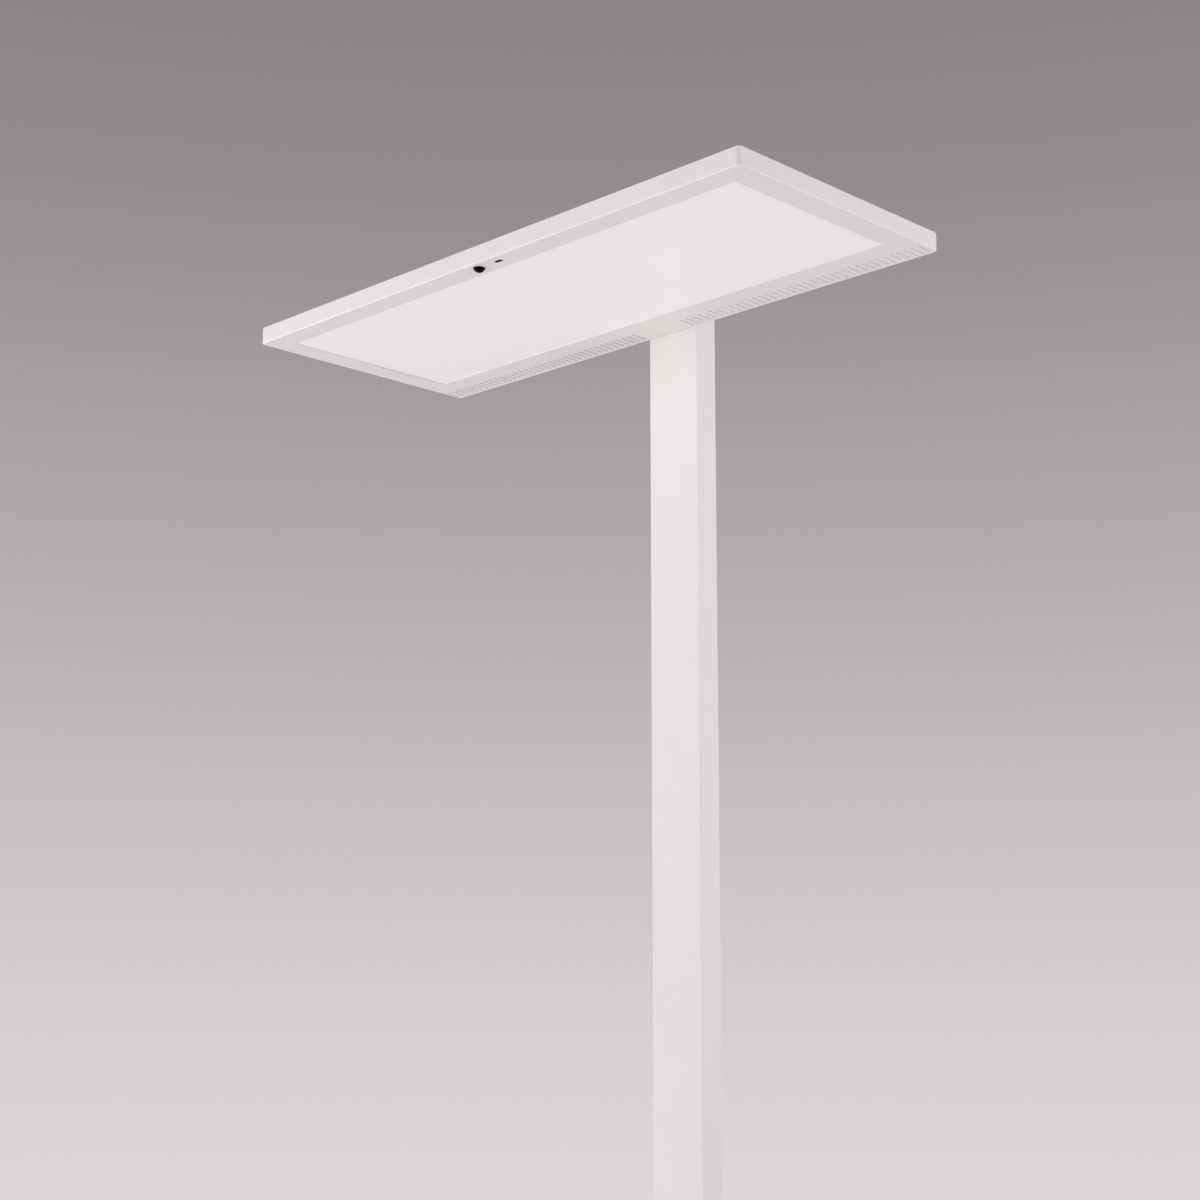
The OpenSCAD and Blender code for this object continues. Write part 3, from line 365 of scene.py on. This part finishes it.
def softenEdges(form, width, segments, where):  # rounds the sharp edges
    edges = [
        edge for edge in form.edges
        if edge.is_manifold and edge.calc_face_angle(0) > math.radians(creases["bevelled"])
        and where((edge.verts[0].co + edge.verts[1].co) / 2)
    ]
    bmesh.ops.bevel(
        form, geom=edges, offset=width, offset_type="OFFSET", segments=segments, profile=0.5,
        affect="EDGES", material=-1, clamp_overlap=True,
    )


def turned(section, steps=36):  # spins a section of (radius, height) points round the Z axis
    form = bmesh.new()
    points = [form.verts.new((radius, 0, height)) for radius, height in section]
    lines = [form.edges.new(pair) for pair in zip(points, points[1:])]
    bmesh.ops.spin(
        form, geom=points + lines, axis=(0, 0, 1), cent=(0, 0, 0), angle=math.tau, steps=steps, use_merge=True
    )
    bmesh.ops.remove_doubles(form, verts=form.verts, dist=merge)
    bmesh.ops.recalc_face_normals(form, faces=form.faces)
    return form


def curve(centre, radius, start, end, count):  # points of an arc in a section, in degrees
    angles = [math.radians(start + (end - start) * i / count) for i in range(count + 1)]
    return [(centre[0] + radius * math.cos(a), centre[1] + radius * math.sin(a)) for a in angles]


def quarterTurn(first):  # angles of a quarter turn in five equal steps, from the given step on
    return [math.radians(18 * i) for i in range(first, 6)]


def solidBoxes(nodeName):  # lowest and highest corner of each separate solid of a node
    form = mergedCopy(nodeName)
    left = set(form.verts)
    boxes = []
    while left:
        reached = [left.pop()]
        for vert in reached:
            for edge in vert.link_edges:
                other = edge.other_vert(vert)
                if other in left:
                    left.discard(other)
                    reached.append(other)
        corners = list(zip(*[vert.co for vert in reached]))
        boxes.append((Vector(map(min, corners)), Vector(map(max, corners))))
    form.free()
    return sorted(boxes, key=lambda box: tuple(box[0]))


def facing(direction, place):  # turns a form made along Z to a direction and puts its top at a place
    turn = Vector((0, 0, 1)).rotation_difference(Vector(direction)).to_matrix().to_4x4()
    return Matrix.Translation(place) @ turn


def addCopy(form, part, matrix):
    mesh = bpy.data.meshes.new("part")
    part.to_mesh(mesh)
    mesh.transform(matrix)
    form.from_mesh(mesh)
    bpy.data.meshes.remove(mesh)


def putIn(form, name, nodeName, replaced=True, material=None):  # makes the finished piece of a form
    mesh = bpy.data.meshes.new(name)
    form.to_mesh(mesh)
    form.free()
    mesh.shade_smooth()
    mesh.set_sharp_from_angle(angle=math.radians(creases["sharp"]))
    mesh.materials.append(material or finishes[slotOf[nodeName]])
    piece = bpy.data.objects.new(name, mesh)
    bpy.context.scene.collection.objects.link(piece)
    weights = piece.modifiers.new("faceWeights", "WEIGHTED_NORMAL")  # keeps the large faces flat
    weights.keep_sharp = True
    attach(piece, bodyOf[nodeName])
    if replaced:
        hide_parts(nodeName)
    return piece


def anywhere(middle):
    return True


def dressed(name, nodeName, *rules):  # a node's own shape with its edges rounded: width, steps, where
    form = mergedCopy(nodeName)
    for width, segments, where in rules:
        softenEdges(form, width, segments, where)
    return putIn(form, name, nodeName)


# Column, base and head shells

column = {"edge": 0.3 * mm, "capEdge": 0.4 * mm}
dressed("columnProfile", "column_tube", (column["edge"], 2, anywhere))
dressed("columnEndCap", "column_cap", (column["capEdge"], 3, anywhere))

base = {"edge": 0.3 * mm, "topEdge": 1.4 * mm, "rimShare": 0.9}
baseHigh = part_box("base_plate")[1]


def onBaseTop(middle):  # the upper edge all round the plate
    outside = max(abs(middle.x) / baseHigh.x, abs(middle.y) / baseHigh.y) > base["rimShare"]
    return outside and middle.z > baseHigh.z - merge


dressed("basePlateCoated", "base_plate", (base["topEdge"], 4, onBaseTop), (base["edge"], 2, anywhere))

head = {
    "edge": 0.25 * mm, "sheet": 1.2 * mm, "sheetSlack": 0.3 * mm,
    "lidEdge": 0.25 * mm, "panelEdge": 0.3 * mm,
}
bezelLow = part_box("head_tray")[0].z


def seenOnTray(middle):  # the edges below, and not those against the panel and the screens
    return abs(middle.z - bezelLow - head["sheet"]) > head["sheetSlack"]


dressed("headTrayCoated", "head_tray", (head["edge"], 2, seenOnTray))
dressed("headLidCoated", "top_cover", (head["lidEdge"], 2, anywhere))
dressed("lowerOpalPanel", "lower_diffuser", (head["panelEdge"], 2, anywhere))
dressed("upperOpalPanel", "upper_diffuser", (head["panelEdge"], 2, anywhere))
print("shells: column, base, head, lid, panels")

# Screws: a domed or countersunk head with a hexagon socket

screws = [
    {"node": "column_screws", "name": "columnButtonScrews", "facing": (0, 1, 0), "domed": True,
     "headR": 4.75 * mm, "rise": 2.75 * mm, "shankR": 2.5 * mm, "socketR": 1.75 * mm},
    {"node": "inlet_screws", "name": "inletSunkScrews", "facing": (0, 1, 0), "domed": False,
     "headR": 2.75 * mm, "rise": 1.25 * mm, "shankR": 1.5 * mm, "socketR": 1.1 * mm},
    {"node": "cover_screws", "name": "lidSunkScrews", "facing": (0, 0, 1), "domed": False,
     "headR": 3 * mm, "rise": 1.5 * mm, "shankR": 1.5 * mm, "socketR": 1.2 * mm},
    {"node": "base_screws", "name": "baseSunkScrews", "facing": (0, 0, -1), "domed": False,
     "headR": 6.2 * mm, "rise": 3.2 * mm, "shankR": 3 * mm, "socketR": 2.4 * mm},
    {"node": "button_board_screws", "name": "boardPanScrews", "facing": (0, 1, 0), "domed": True,
     "headR": 1.9 * mm, "rise": 1.2 * mm, "shankR": 1 * mm, "socketR": 0.75 * mm},
    {"node": "carrier_screws", "name": "carrierPanScrews", "facing": (0, 0, 1), "domed": True,
     "headR": 2.8 * mm, "rise": 2 * mm, "shankR": 1.5 * mm, "socketR": 1.1 * mm},
    {"node": "electronics_screws", "name": "driverPanScrews", "facing": (0, 0, 1), "domed": True,
     "headR": 2.8 * mm, "rise": 2 * mm, "shankR": 1.5 * mm, "socketR": 1.1 * mm},
]
screwShape = {
    # Shares of the head's rise
    "socketDepth": 0.6, "mouthDepth": 0.1, "domeDrop": 0.75, "rimDrop": 0.92, "rimIn": 0.08,
    # Shares of the socket's radius
    "mouthR": 1.08, "flatR": 1.5, "socketWall": (0.9, 1.1),
    # Shares of the shank's radius
    "tipR": 0.6, "tipLength": 0.4,
    # Small chamfer on a countersunk head's rim
    "sunkIn": 0.1 * mm, "sunkDrop": 0.08 * mm,
}


def screwSection(size, length):  # from the socket's floor over the head and down to the tip
    socket, headR, rise, shankR = size["socketR"], size["headR"], size["rise"], size["shankR"]
    shape = screwShape
    depth, flatR = rise * shape["socketDepth"], socket * shape["flatR"]
    points = [
        (0, -depth), (socket, -depth), (socket, -shape["mouthDepth"] * rise), (socket * shape["mouthR"], 0),
    ]
    if size["domed"]:
        points += [(flatR, 0)]
        points += [
            (flatR + (headR - flatR) * math.sin(a), -rise * shape["domeDrop"] * (1 - math.cos(a)))
            for a in quarterTurn(1)
        ]
        points += [(headR, -rise * shape["rimDrop"]), (headR - shape["rimIn"] * rise, -rise)]
    else:
        points += [(headR - shape["sunkIn"], 0), (headR, -shape["sunkDrop"])]
    tipStart = shankR * shape["tipLength"] - length
    points += [(shankR, -rise), (shankR, tipStart), (shankR * shape["tipR"], -length), (0, -length)]
    return points


def socketScrew(size, length):
    form = turned(screwSection(size, length))
    wallLow, wallHigh = (size["socketR"] * share for share in screwShape["socketWall"])
    side = 360 / 6
    for vert in form.verts:  # the socket's round wall is drawn in to a hexagon
        if wallLow < math.hypot(vert.co.x, vert.co.y) < wallHigh:
            turn = math.degrees(math.atan2(vert.co.y, vert.co.x)) % side - side / 2
            shrink = math.cos(math.radians(side / 2)) / math.cos(math.radians(turn))
            vert.co.x *= shrink
            vert.co.y *= shrink
    return form


for size in screws:
    way = Vector(size["facing"])
    joined = bmesh.new()
    for low, high in solidBoxes(size["node"]):
        middle, span = (low + high) / 2, high - low
        length = abs(span.dot(way))
        one = socketScrew(size, length)
        addCopy(joined, one, facing(way, middle + way * length / 2))
        one.free()
    putIn(joined, size["name"], size["node"])
nutEdge = {"studs": 0.4 * mm, "sensor": 0.2 * mm}
dressed("studNuts", "bracket_nuts", (nutEdge["studs"], 2, anywhere))
dressed("sensorNuts", "sensor_nuts", (nutEdge["sensor"], 2, anywhere))
print("screws:", len(screws), "kinds")

# Glide pads: moulded rubber discs with a rounded foot and two ring grooves

pad = {
    "edge": 0.9 * mm, "steps": 48,
    "grooves": (5 * mm, 9 * mm), "grooveHalf": 0.6 * mm, "grooveDepth": 0.5 * mm,
}
padForm = bmesh.new()
for low, high in solidBoxes("glide_pads"):
    radius, thick = (high.x - low.x) / 2, high.z - low.z
    section = [(0, 0)]
    for groove in pad["grooves"]:
        section += [
            (groove - pad["grooveHalf"], 0), (groove - pad["grooveHalf"] / 2, -pad["grooveDepth"]),
            (groove + pad["grooveHalf"] / 2, -pad["grooveDepth"]), (groove + pad["grooveHalf"], 0),
        ]
    section += curve((radius - pad["edge"], -pad["edge"]), pad["edge"], 90, 0, 4)
    section += [(radius, -thick), (0, -thick)]
    one = turned(section, pad["steps"])
    middle = (low + high) / 2
    addCopy(padForm, one, facing((0, 0, -1), (middle.x, middle.y, low.z)))
    one.free()
putIn(padForm, "rubberGlidePads", "glide_pads")

# Controls: plate, two dished push buttons with their marks, and the status light

plate = {"rim": 0.7 * mm, "edge": 0.2 * mm, "innerReach": 8 * mm}
plateLow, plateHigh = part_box("control_plate")
plateMiddle = (plateLow + plateHigh) / 2
buttonMiddles = [(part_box(name)[0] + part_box(name)[1]) / 2 for name in ("button_up", "button_down")]


def onPlateRim(middle):  # the outer edge of the plate's front, and no edge of the holes for buttons and light
    if middle.y > plateLow.y + merge:
        return False
    holes = (plateMiddle, *buttonMiddles)
    return min(math.hypot(middle.x, middle.z - hole.z) for hole in holes) > plate["innerReach"]


dressed("controlPlate", "control_plate", (plate["rim"], 4, onPlateRim), (plate["edge"], 2, anywhere))

button = {
    "capR": 6 * mm, "collarR": 7 * mm, "collar": 1.2 * mm, "edge": 0.6 * mm,
    "dish": 0.28 * mm, "dishR": 4.9 * mm, "dishSteps": 6, "steps": 48,
}
mark = {"length": 4.2 * mm, "width": 0.7 * mm, "top": 0.10 * mm, "bottom": 0.35 * mm}


def buttonSection(length):  # a finger dish in the cap, and the collar that holds it in the plate
    count = button["dishSteps"]
    dish = [
        (button["dishR"] * i / count, -button["dish"] * (math.cos(math.pi * i / count) + 1) / 2)
        for i in range(count + 1)
    ]
    edge = curve((button["capR"] - button["edge"], -button["edge"]), button["edge"], 90, 0, 5)
    collarR, collarZ = button["collarR"], button["collar"] - length
    return dish + edge + [(button["capR"], collarZ), (collarR, collarZ), (collarR, -length), (0, -length)]


def markForm(plus):  # a plus or minus: the middle row of a grid of nine, with or without the middle column
    form = bmesh.new()
    half = mark["length"] / 2
    bmesh.ops.create_grid(form, x_segments=3, y_segments=3, size=half)
    for vert in form.verts:
        for axis in (0, 1):
            if abs(vert.co[axis]) < half / 2:
                vert.co[axis] = math.copysign(mark["width"] / 2, vert.co[axis])
    unwanted = []
    for face in form.faces:
        x, y, _ = face.calc_center_median()
        inRow, inColumn = abs(y) < half / 4, abs(x) < half / 4
        if not (inRow or (plus and inColumn)):
            unwanted.append(face)
    bmesh.ops.delete(form, geom=unwanted, context="FACES")
    raised = bmesh.ops.extrude_face_region(form, geom=form.faces[:])["geom"]
    upper = [item for item in raised if isinstance(item, bmesh.types.BMVert)]
    bmesh.ops.translate(form, verts=upper, vec=(0, 0, mark["bottom"] - mark["top"]))
    bmesh.ops.translate(form, verts=form.verts, vec=(0, 0, -mark["bottom"]))
    bmesh.ops.recalc_face_normals(form, faces=form.faces)
    return form


for nodeName, name, plus in (("button_up", "pushButtonUp", True), ("button_down", "pushButtonDown", False)):
    low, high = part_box(nodeName)
    front = Vector(((low.x + high.x) / 2, low.y, (low.z + high.z) / 2))
    cap = bmesh.new()
    one = turned(buttonSection(high.y - low.y), button["steps"])
    addCopy(cap, one, facing((0, -1, 0), front))
    one.free()
    putIn(cap, name, nodeName)
    sign = bmesh.new()
    one = markForm(plus)
    addCopy(sign, one, facing((0, -1, 0), front))
    one.free()
    putIn(sign, name + "Mark", nodeName, replaced=False, material=markInk)

statusLight = {"dome": 0.35 * mm, "steps": 24}
lightLow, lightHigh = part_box("status_light")
lightR, lightLength = (lightHigh.x - lightLow.x) / 2, lightHigh.y - lightLow.y
dome = [(lightR * math.sin(a), statusLight["dome"] * (math.cos(a) - 1)) for a in quarterTurn(0)]
pipe = turned(dome + [(lightR, -lightLength), (0, -lightLength)], statusLight["steps"])
pipeForm = bmesh.new()
addCopy(pipeForm, pipe, facing((0, -1, 0), (0, lightLow.y, (lightLow.z + lightHigh.z) / 2)))
pipe.free()
putIn(pipeForm, "statusLightPipe", "status_light")
boardEdge = 0.15 * mm
dressed("buttonBoard", "button_board", (boardEdge, 2, anywhere))
print("controls: plate, buttons, marks, light")

# Sensors: a domed lens of small facets, and the oblong window beside it

lens = {
    "domeR": 6.25 * mm, "wall": 0.8 * mm, "flange": 1 * mm, "rings": 6, "steps": 20,
    "facetGap": 0.09 * mm, "facetDepth": 0.05 * mm,
    "facetTilt": 0.2, "facetDrop": 0.2 * mm, "poleR": 0.9 * mm,  # no facets past these
}
lensLow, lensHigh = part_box("presence_lens")
domeR, domeH = lens["domeR"], bezelLow - lensLow.z
ballR = (domeR ** 2 + domeH ** 2) / (2 * domeH)
ballMiddle = Vector((0, 0, ballR - domeH))
edgeAngle = math.degrees(math.asin((ballR - domeH) / ballR))
shell = curve((0, ballR - domeH), ballR, -90, -edgeAngle, lens["rings"])
flangeR, flangeTop = (lensHigh.x - lensLow.x) / 2, lensHigh.z - bezelLow
flangeLow = flangeTop - lens["flange"]
shell += [
    (domeR, flangeLow), (flangeR, flangeLow), (flangeR, flangeTop), (domeR - lens["wall"], flangeTop),
]
inner = curve((0, ballR - domeH), ballR - lens["wall"], -edgeAngle, -90, lens["rings"])
lensForm = turned(shell + inner, lens["steps"])


def isFacet(face):  # a face on the outside of the dome, between its pole and its edge
    middle = face.calc_center_median()
    outside = (middle - ballMiddle).length > ballR - lens["wall"] / 2
    down = face.normal.z < -lens["facetTilt"] and middle.z < -lens["facetDrop"]
    return outside and down and math.hypot(*middle.xy) > lens["poleR"]


facets = [face for face in lensForm.faces if isFacet(face)]
bmesh.ops.inset_individual(lensForm, faces=facets, thickness=lens["facetGap"], depth=lens["facetDepth"])
lensMiddle = (lensLow + lensHigh) / 2
bmesh.ops.translate(lensForm, verts=lensForm.verts, vec=(lensMiddle.x, lensMiddle.y, bezelLow))
putIn(lensForm, "presenceLens", "presence_lens")
windowEdge = 0.15 * mm
dressed("lightSensorWindow", "light_sensor_window", (windowEdge, 2, anywhere))
print("sensors: lens, window")

# Mains inlet at the back of the column

inlet = {"edge": 0.4 * mm, "pinEdge": 0.3 * mm}
dressed("mainsInletHousing", "inlet_housing", (inlet["edge"], 2, anywhere))
dressed("mainsInletPins", "inlet_pins", (inlet["pinEdge"], 2, anywhere))

# Pieces inside the head and the column keep their shape and lose their sharp edges
for name, nodeName, width in (
    ("footInsert", "foot_insert", 0.5 * mm),
    ("headBracket", "head_bracket", 0.5 * mm),
    ("lightGuidePlate", "light_guide", 0.2 * mm),
    ("carrierSheet", "carrier_sheet", 0.2 * mm),
    ("ledDriverCan", "led_driver", 0.6 * mm),
    ("controlUnitCase", "control_unit", 0.6 * mm),
    ("sensorHolder", "sensor_holder", 0.3 * mm),
    ("sensorBoard", "sensor_board", 0.12 * mm),
):
    dressed(name, nodeName, (width, 2, anywhere))
print("inside pieces done")

# Studio: floor, sky, and softboxes on both sides, at head height and low down, and above

floor = {"radius": 2.6, "segments": 96, "colour": "#d9d5d4", "matt": 0.8, "fadeFrom": 1.2, "fadeTo": 2.5}


def floorFinish():  # pale matt floor that fades out into the backdrop, and isn't seen from below
    material, tree, shader = newFinish("paleStudioFloor", floor["colour"], floor["matt"])
    place = addNode(tree, "ShaderNodeTexCoord")
    distance = addNode(tree, "ShaderNodeVectorMath", None, {0: place.outputs["Object"]}, operation="LENGTH")
    fade = addNode(
        tree, "ShaderNodeMapRange", {"From Min": floor["fadeFrom"], "From Max": floor["fadeTo"]},
        {"Value": distance.outputs["Value"]}, interpolation_type="SMOOTHSTEP",
    )
    paths = addNode(tree, "ShaderNodeLightPath")
    seen = addNode(
        tree, "ShaderNodeMath", None,
        {0: paths.outputs["Is Camera Ray"], 1: fade.outputs["Result"]}, operation="MULTIPLY",
    )
    side = addNode(tree, "ShaderNodeNewGeometry")
    gone = addNode(
        tree, "ShaderNodeMath", None,
        {0: seen.outputs["Value"], 1: side.outputs["Backfacing"]}, operation="MAXIMUM",
    )
    clear = addNode(tree, "ShaderNodeBsdfTransparent")
    mix = addNode(
        tree, "ShaderNodeMixShader", None,
        {0: gone.outputs["Value"], 1: shader.outputs["BSDF"], 2: clear.outputs["BSDF"]},
    )
    tree.links.new(mix.outputs["Shader"], tree.nodes["Material Output"].inputs["Surface"])
    return material


disc = bmesh.new()
bmesh.ops.create_circle(disc, cap_ends=True, segments=floor["segments"], radius=floor["radius"])
floorMesh = bpy.data.meshes.new("paleFloor")
disc.to_mesh(floorMesh)
disc.free()
floorMesh.materials.append(floorFinish())
floorPiece = bpy.data.objects.new("paleFloor", floorMesh)
bpy.context.scene.collection.objects.link(floorPiece)

# The backdrop goes from pale below to mid grey above; the light itself comes most from below in front
backdrop = [(-8, "#dfdbda"), (0, "#d2cecd"), (11, "#b3afae"), (22, "#928e8d"), (32, "#827e7d")]
sky = {"colour": "#ffffff", "below": 0.93, "lean": (-0.18, -0.62, 0), "above": 0.36, "blend": 0.3}


def studioWorld():
    world = bpy.data.worlds.new("studioBackdrop")
    bpy.context.scene.world = world
    world.use_nodes = True
    tree = world.node_tree
    place = addNode(tree, "ShaderNodeTexCoord")
    parts = addNode(tree, "ShaderNodeSeparateXYZ", None, {"Vector": place.outputs["Generated"]})
    lowest, highest = (math.sin(math.radians(backdrop[i][0])) for i in (0, -1))
    rise = addNode(
        tree, "ShaderNodeMapRange", {"From Min": lowest, "From Max": highest}, {"Value": parts.outputs["Z"]}
    )
    ramp = addNode(tree, "ShaderNodeValToRGB", None, {"Fac": rise.outputs["Result"]})
    elements = ramp.color_ramp.elements
    while len(elements) < len(backdrop):
        elements.new(0.5)
    for element, (angle, colour) in zip(elements, backdrop):
        element.position = (math.sin(math.radians(angle)) - lowest) / (highest - lowest)
        element.color = toLinear(colour)
    shown = addNode(tree, "ShaderNodeBackground", {"Strength": 1.0}, {"Color": ramp.outputs["Color"]})
    lean = addNode(
        tree, "ShaderNodeVectorMath", {1: sky["lean"]}, {0: place.outputs["Generated"]},
        operation="DOT_PRODUCT",
    )
    below = addNode(tree, "ShaderNodeMath", {1: sky["below"]}, {0: lean.outputs["Value"]}, operation="ADD")
    level = addNode(
        tree, "ShaderNodeMapRange",
        {"From Min": -sky["blend"], "From Max": sky["blend"], "To Max": sky["above"]},
        {"Value": parts.outputs["Z"], "To Min": below.outputs["Value"]}, interpolation_type="SMOOTHSTEP",
    )
    lit = addNode(
        tree, "ShaderNodeBackground",
        {"Color": toLinear(sky["colour"])}, {"Strength": level.outputs["Result"]},
    )
    paths = addNode(tree, "ShaderNodeLightPath")
    mirrored = addNode(
        tree, "ShaderNodeMath", None,
        {0: paths.outputs["Is Glossy Ray"], 1: paths.outputs["Is Transmission Ray"]}, operation="MAXIMUM",
    )
    direct = addNode(
        tree, "ShaderNodeMath", None,
        {0: paths.outputs["Is Camera Ray"], 1: mirrored.outputs["Value"]}, operation="MAXIMUM",
    )
    mix = addNode(
        tree, "ShaderNodeMixShader", None,
        {0: direct.outputs["Value"], 1: lit.outputs["Background"], 2: shown.outputs["Background"]},
    )
    tree.links.new(mix.outputs["Shader"], tree.nodes["World Output"].inputs["Surface"])


studioWorld()

softboxes = [
    {"name": "leftSoftbox", "place": (-1.7, -1.9, 1.75), "aimHeight": 1.6, "size": (1.4, 1.4), "watts": 14},
    {"name": "rightSoftbox", "place": (1.85, 1.2, 1.75), "aimHeight": 1.6, "size": (1.4, 1.4), "watts": 14},
    {"name": "lowLeftSoftbox", "place": (-2.0, -1.2, 0.5), "aimHeight": 1.9, "size": (1.6, 1.0), "watts": 16},
    {"name": "lowRightSoftbox", "place": (1.9, 0.2, 0.5), "aimHeight": 1.9, "size": (1.6, 1.0), "watts": 8},
    {"name": "topSoftbox", "place": (0, 0, 4.2), "aimHeight": 0, "size": (2.4, 2.4), "watts": 40},
]
for box in softboxes:
    lamp = bpy.data.lights.new(box["name"], "AREA")
    lamp.shape = "RECTANGLE"
    lamp.size, lamp.size_y = box["size"]
    lamp.energy = box["watts"]
    lampPiece = bpy.data.objects.new(box["name"], lamp)
    lampPiece.location = box["place"]
    lampPiece.visible_camera = False
    aim = Vector((0, 0, box["aimHeight"])) - Vector(box["place"])
    lampPiece.rotation_euler = aim.to_track_quat("-Z", "Y").to_euler()
    bpy.context.scene.collection.objects.link(lampPiece)

# Camera: below the head, on the front right, turned up to it as in the photograph
viewpoint = {
    "place": (1.442, -1.436, 1.220), "turn": 44.81, "pitch": 9.22, "lens": 60.1, "sensor": 36, "shift": 0.05,
}
cameraData = bpy.data.cameras.new("photoCamera")
cameraData.sensor_width = viewpoint["sensor"]
cameraData.lens = viewpoint["lens"]
cameraData.shift_y = viewpoint["shift"]
cameraPiece = bpy.data.objects.new("photoCamera", cameraData)
cameraPiece.location = viewpoint["place"]
cameraPiece.rotation_euler = (math.radians(90 + viewpoint["pitch"]), 0, math.radians(viewpoint["turn"]))
bpy.context.scene.collection.objects.link(cameraPiece)
bpy.context.scene.camera = cameraPiece
bpy.context.scene.view_settings.view_transform = "Standard"
print("studio: floor, backdrop, lights, camera")
